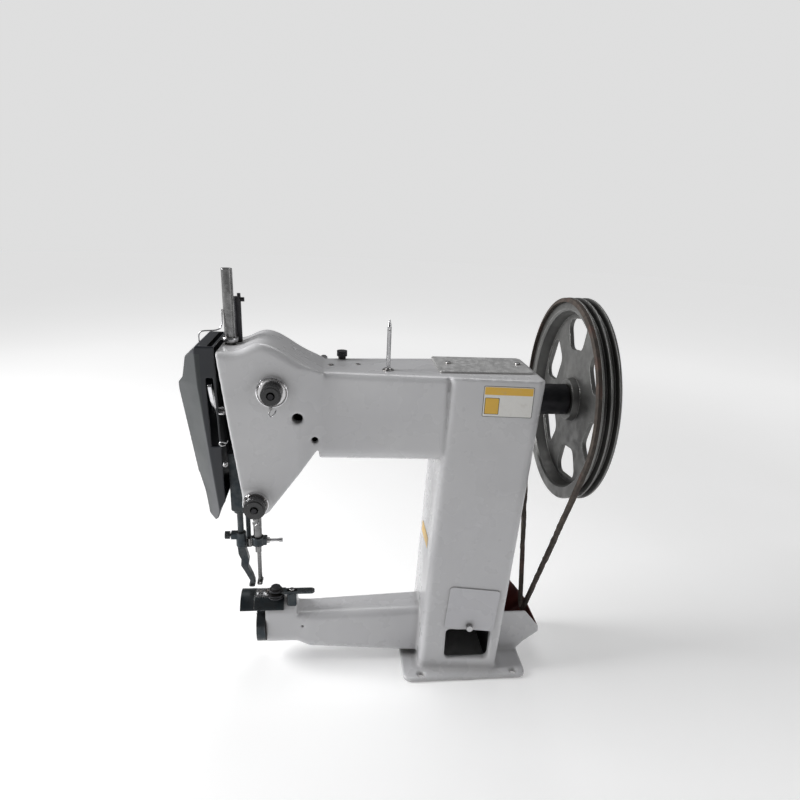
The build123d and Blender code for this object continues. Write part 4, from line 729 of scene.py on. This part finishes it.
def head_details():
    tube_low, tube_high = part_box("presser_tube")
    cover_low, cover_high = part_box("face_cover")
    face_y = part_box("arm_casting")[0].y + 0.003
    tube_x, tube_y = (tube_low.x + tube_high.x) / 2, (tube_low.y + tube_high.y) / 2
    # bent wire from the top of the cover to the foot of the tube
    wire("cover_wire", [(cover_low.x + 0.030, tube_y - 0.006, cover_high.z - 0.003),
                        (cover_low.x + 0.034, tube_y - 0.008, cover_high.z + 0.012),
                        (tube_x - 0.012, tube_y - 0.009, tube_low.z + 0.045),
                        (tube_x - 0.0088, tube_y - 0.004, tube_low.z + 0.072)],
         0.0010, "bright_steel", FRAME_BODY)
    turned("tube_lock_ring", (tube_x, tube_y, tube_low.z + 0.024), (0, 0, 1),
           [(0, 0.0081), (0, 0.0112), (0.001, 0.0118), (0.006, 0.0118), (0.007, 0.0112),
            (0.007, 0.0081)], "bright_steel", FRAME_BODY)
    # thread guide and bright screw on the edge of the head
    turned("guide_screw_head", (-0.3955, face_y, 0.4057), (0, -1, 0),
           [(-0.004, 0.0001), (-0.004, 0.0034), (0.0014, 0.0034), (0.0024, 0.0024),
            (0.0024, 0.0001)], "bright_steel", FRAME_BODY, slot_cut=0.0008)
    wire("edge_thread_guide", [(-0.3915, face_y + 0.006, 0.441), (-0.3915, face_y - 0.006, 0.442),
                               (-0.396, face_y - 0.009, 0.445), (-0.4005, face_y - 0.008, 0.443),
                               (-0.3985, face_y - 0.006, 0.438), (-0.3925, face_y - 0.005, 0.439)],
         0.0009, "bright_steel", FRAME_BODY)


def arm_details():
    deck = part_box("top_cover")[0].z
    pin = middle("spool_pin")
    turned("pin_washer", (pin.x, pin.y, deck - 0.0006), (0, 0, 1),
           [(0, 0.0058), (0, 0.0082), (0.0006, 0.0088), (0.0014, 0.0088), (0.0019, 0.0082),
            (0.0019, 0.0058)], "bright_steel", FRAME_BODY)
    for number, (x, y) in enumerate(((-0.242, 0.0), (-0.2005, 0.0046))):
        turned(f"oil_cup_{number}", (x, y, deck - 0.0015), (0, 0, 1),
               [(0, 0.0022), (0, 0.0040), (0.0020, 0.0040), (0.0026, 0.0034), (0.0026, 0.0024),
                (0.0006, 0.0020)], "bright_steel", FRAME_BODY, sides=28)


tension_details()
head_details()
arm_details()


# ---------------------------------------------------------------- camera at the photo's angle
TURN, TILT, ROLL = 0.13359, 0.36149, 0.053433     # radians
CAMERA_PLACE = (-0.2340, -0.9332, 0.7743)
forward = Vector((math.sin(TURN) * math.cos(TILT), math.cos(TURN) * math.cos(TILT),
                  -math.sin(TILT)))
right = Vector((math.cos(TURN), -math.sin(TURN), 0))
up = right.cross(forward)
right_rolled = math.cos(ROLL) * right + math.sin(ROLL) * up
up_rolled = -math.sin(ROLL) * right + math.cos(ROLL) * up
camera_data = bpy.data.cameras.new("camera")
camera_data.lens = 27.65
camera_data.sensor_width = 36
camera_data.shift_x = -0.0163
camera_data.shift_y = 0.05
camera = bpy.data.objects.new("camera", camera_data)
bpy.context.scene.collection.objects.link(camera)
basis = Matrix((right_rolled, up_rolled, -forward)).transposed()
camera.matrix_world = Matrix.Translation(CAMERA_PLACE) @ basis.to_4x4()
bpy.context.scene.camera = camera


# ---------------------------------------------------------------- floor and studio light
FLOOR_RADIUS = 9.0
FLOOR_Z = -0.0006                   # a hair under the base, so that the two faces don't fight
LAMP_TARGET = Vector((-0.1, 0, 0.3))
LAMPS = (("key", (-2.2, 0.1, 1.3), 1.0, 62),        # name, place, size, watts
         ("back", (0.0, 1.0, 2.4), 1.4, 16),
         ("fill", (2.3, -0.9, 1.0), 0.9, 12))


def studio():
    bm = bmesh.new()
    rim = []
    for k in range(120):
        angle = math.radians(3 * k)
        rim.append(bm.verts.new((FLOOR_RADIUS * math.cos(angle), FLOOR_RADIUS * math.sin(angle),
                                 FLOOR_Z)))
    bm.faces.new(rim)
    floor = object_from("studio_floor", bm, "floor")
    world = bpy.data.worlds.new("studio")
    world.use_nodes = True
    tree = world.node_tree
    # dim light from all round, and a bright backdrop that only the camera sees
    ambient = tree.nodes["Background"]
    ambient.inputs["Color"].default_value = (1, 1, 1, 1)
    ambient.inputs["Strength"].default_value = 0.14
    backdrop = tree.nodes.new("ShaderNodeBackground")
    backdrop.inputs["Strength"].default_value = 0.92
    seen = tree.nodes.new("ShaderNodeLightPath")
    blend = tree.nodes.new("ShaderNodeMixShader")
    tree.links.new(seen.outputs["Is Camera Ray"], blend.inputs[0])
    tree.links.new(ambient.outputs[0], blend.inputs[1])
    tree.links.new(backdrop.outputs[0], blend.inputs[2])
    tree.links.new(blend.outputs[0], tree.nodes["World Output"].inputs["Surface"])
    bpy.context.scene.world = world
    for name, place, size, power in LAMPS:
        data = bpy.data.lights.new(name, "AREA")
        data.size = size
        data.energy = power
        lamp = bpy.data.objects.new(name, data)
        lamp.location = place
        lamp.rotation_euler = (LAMP_TARGET - Vector(place)).to_track_quat("-Z", "Y").to_euler()
        bpy.context.scene.collection.objects.link(lamp)
    bpy.context.scene.view_settings.view_transform = "Standard"


studio()
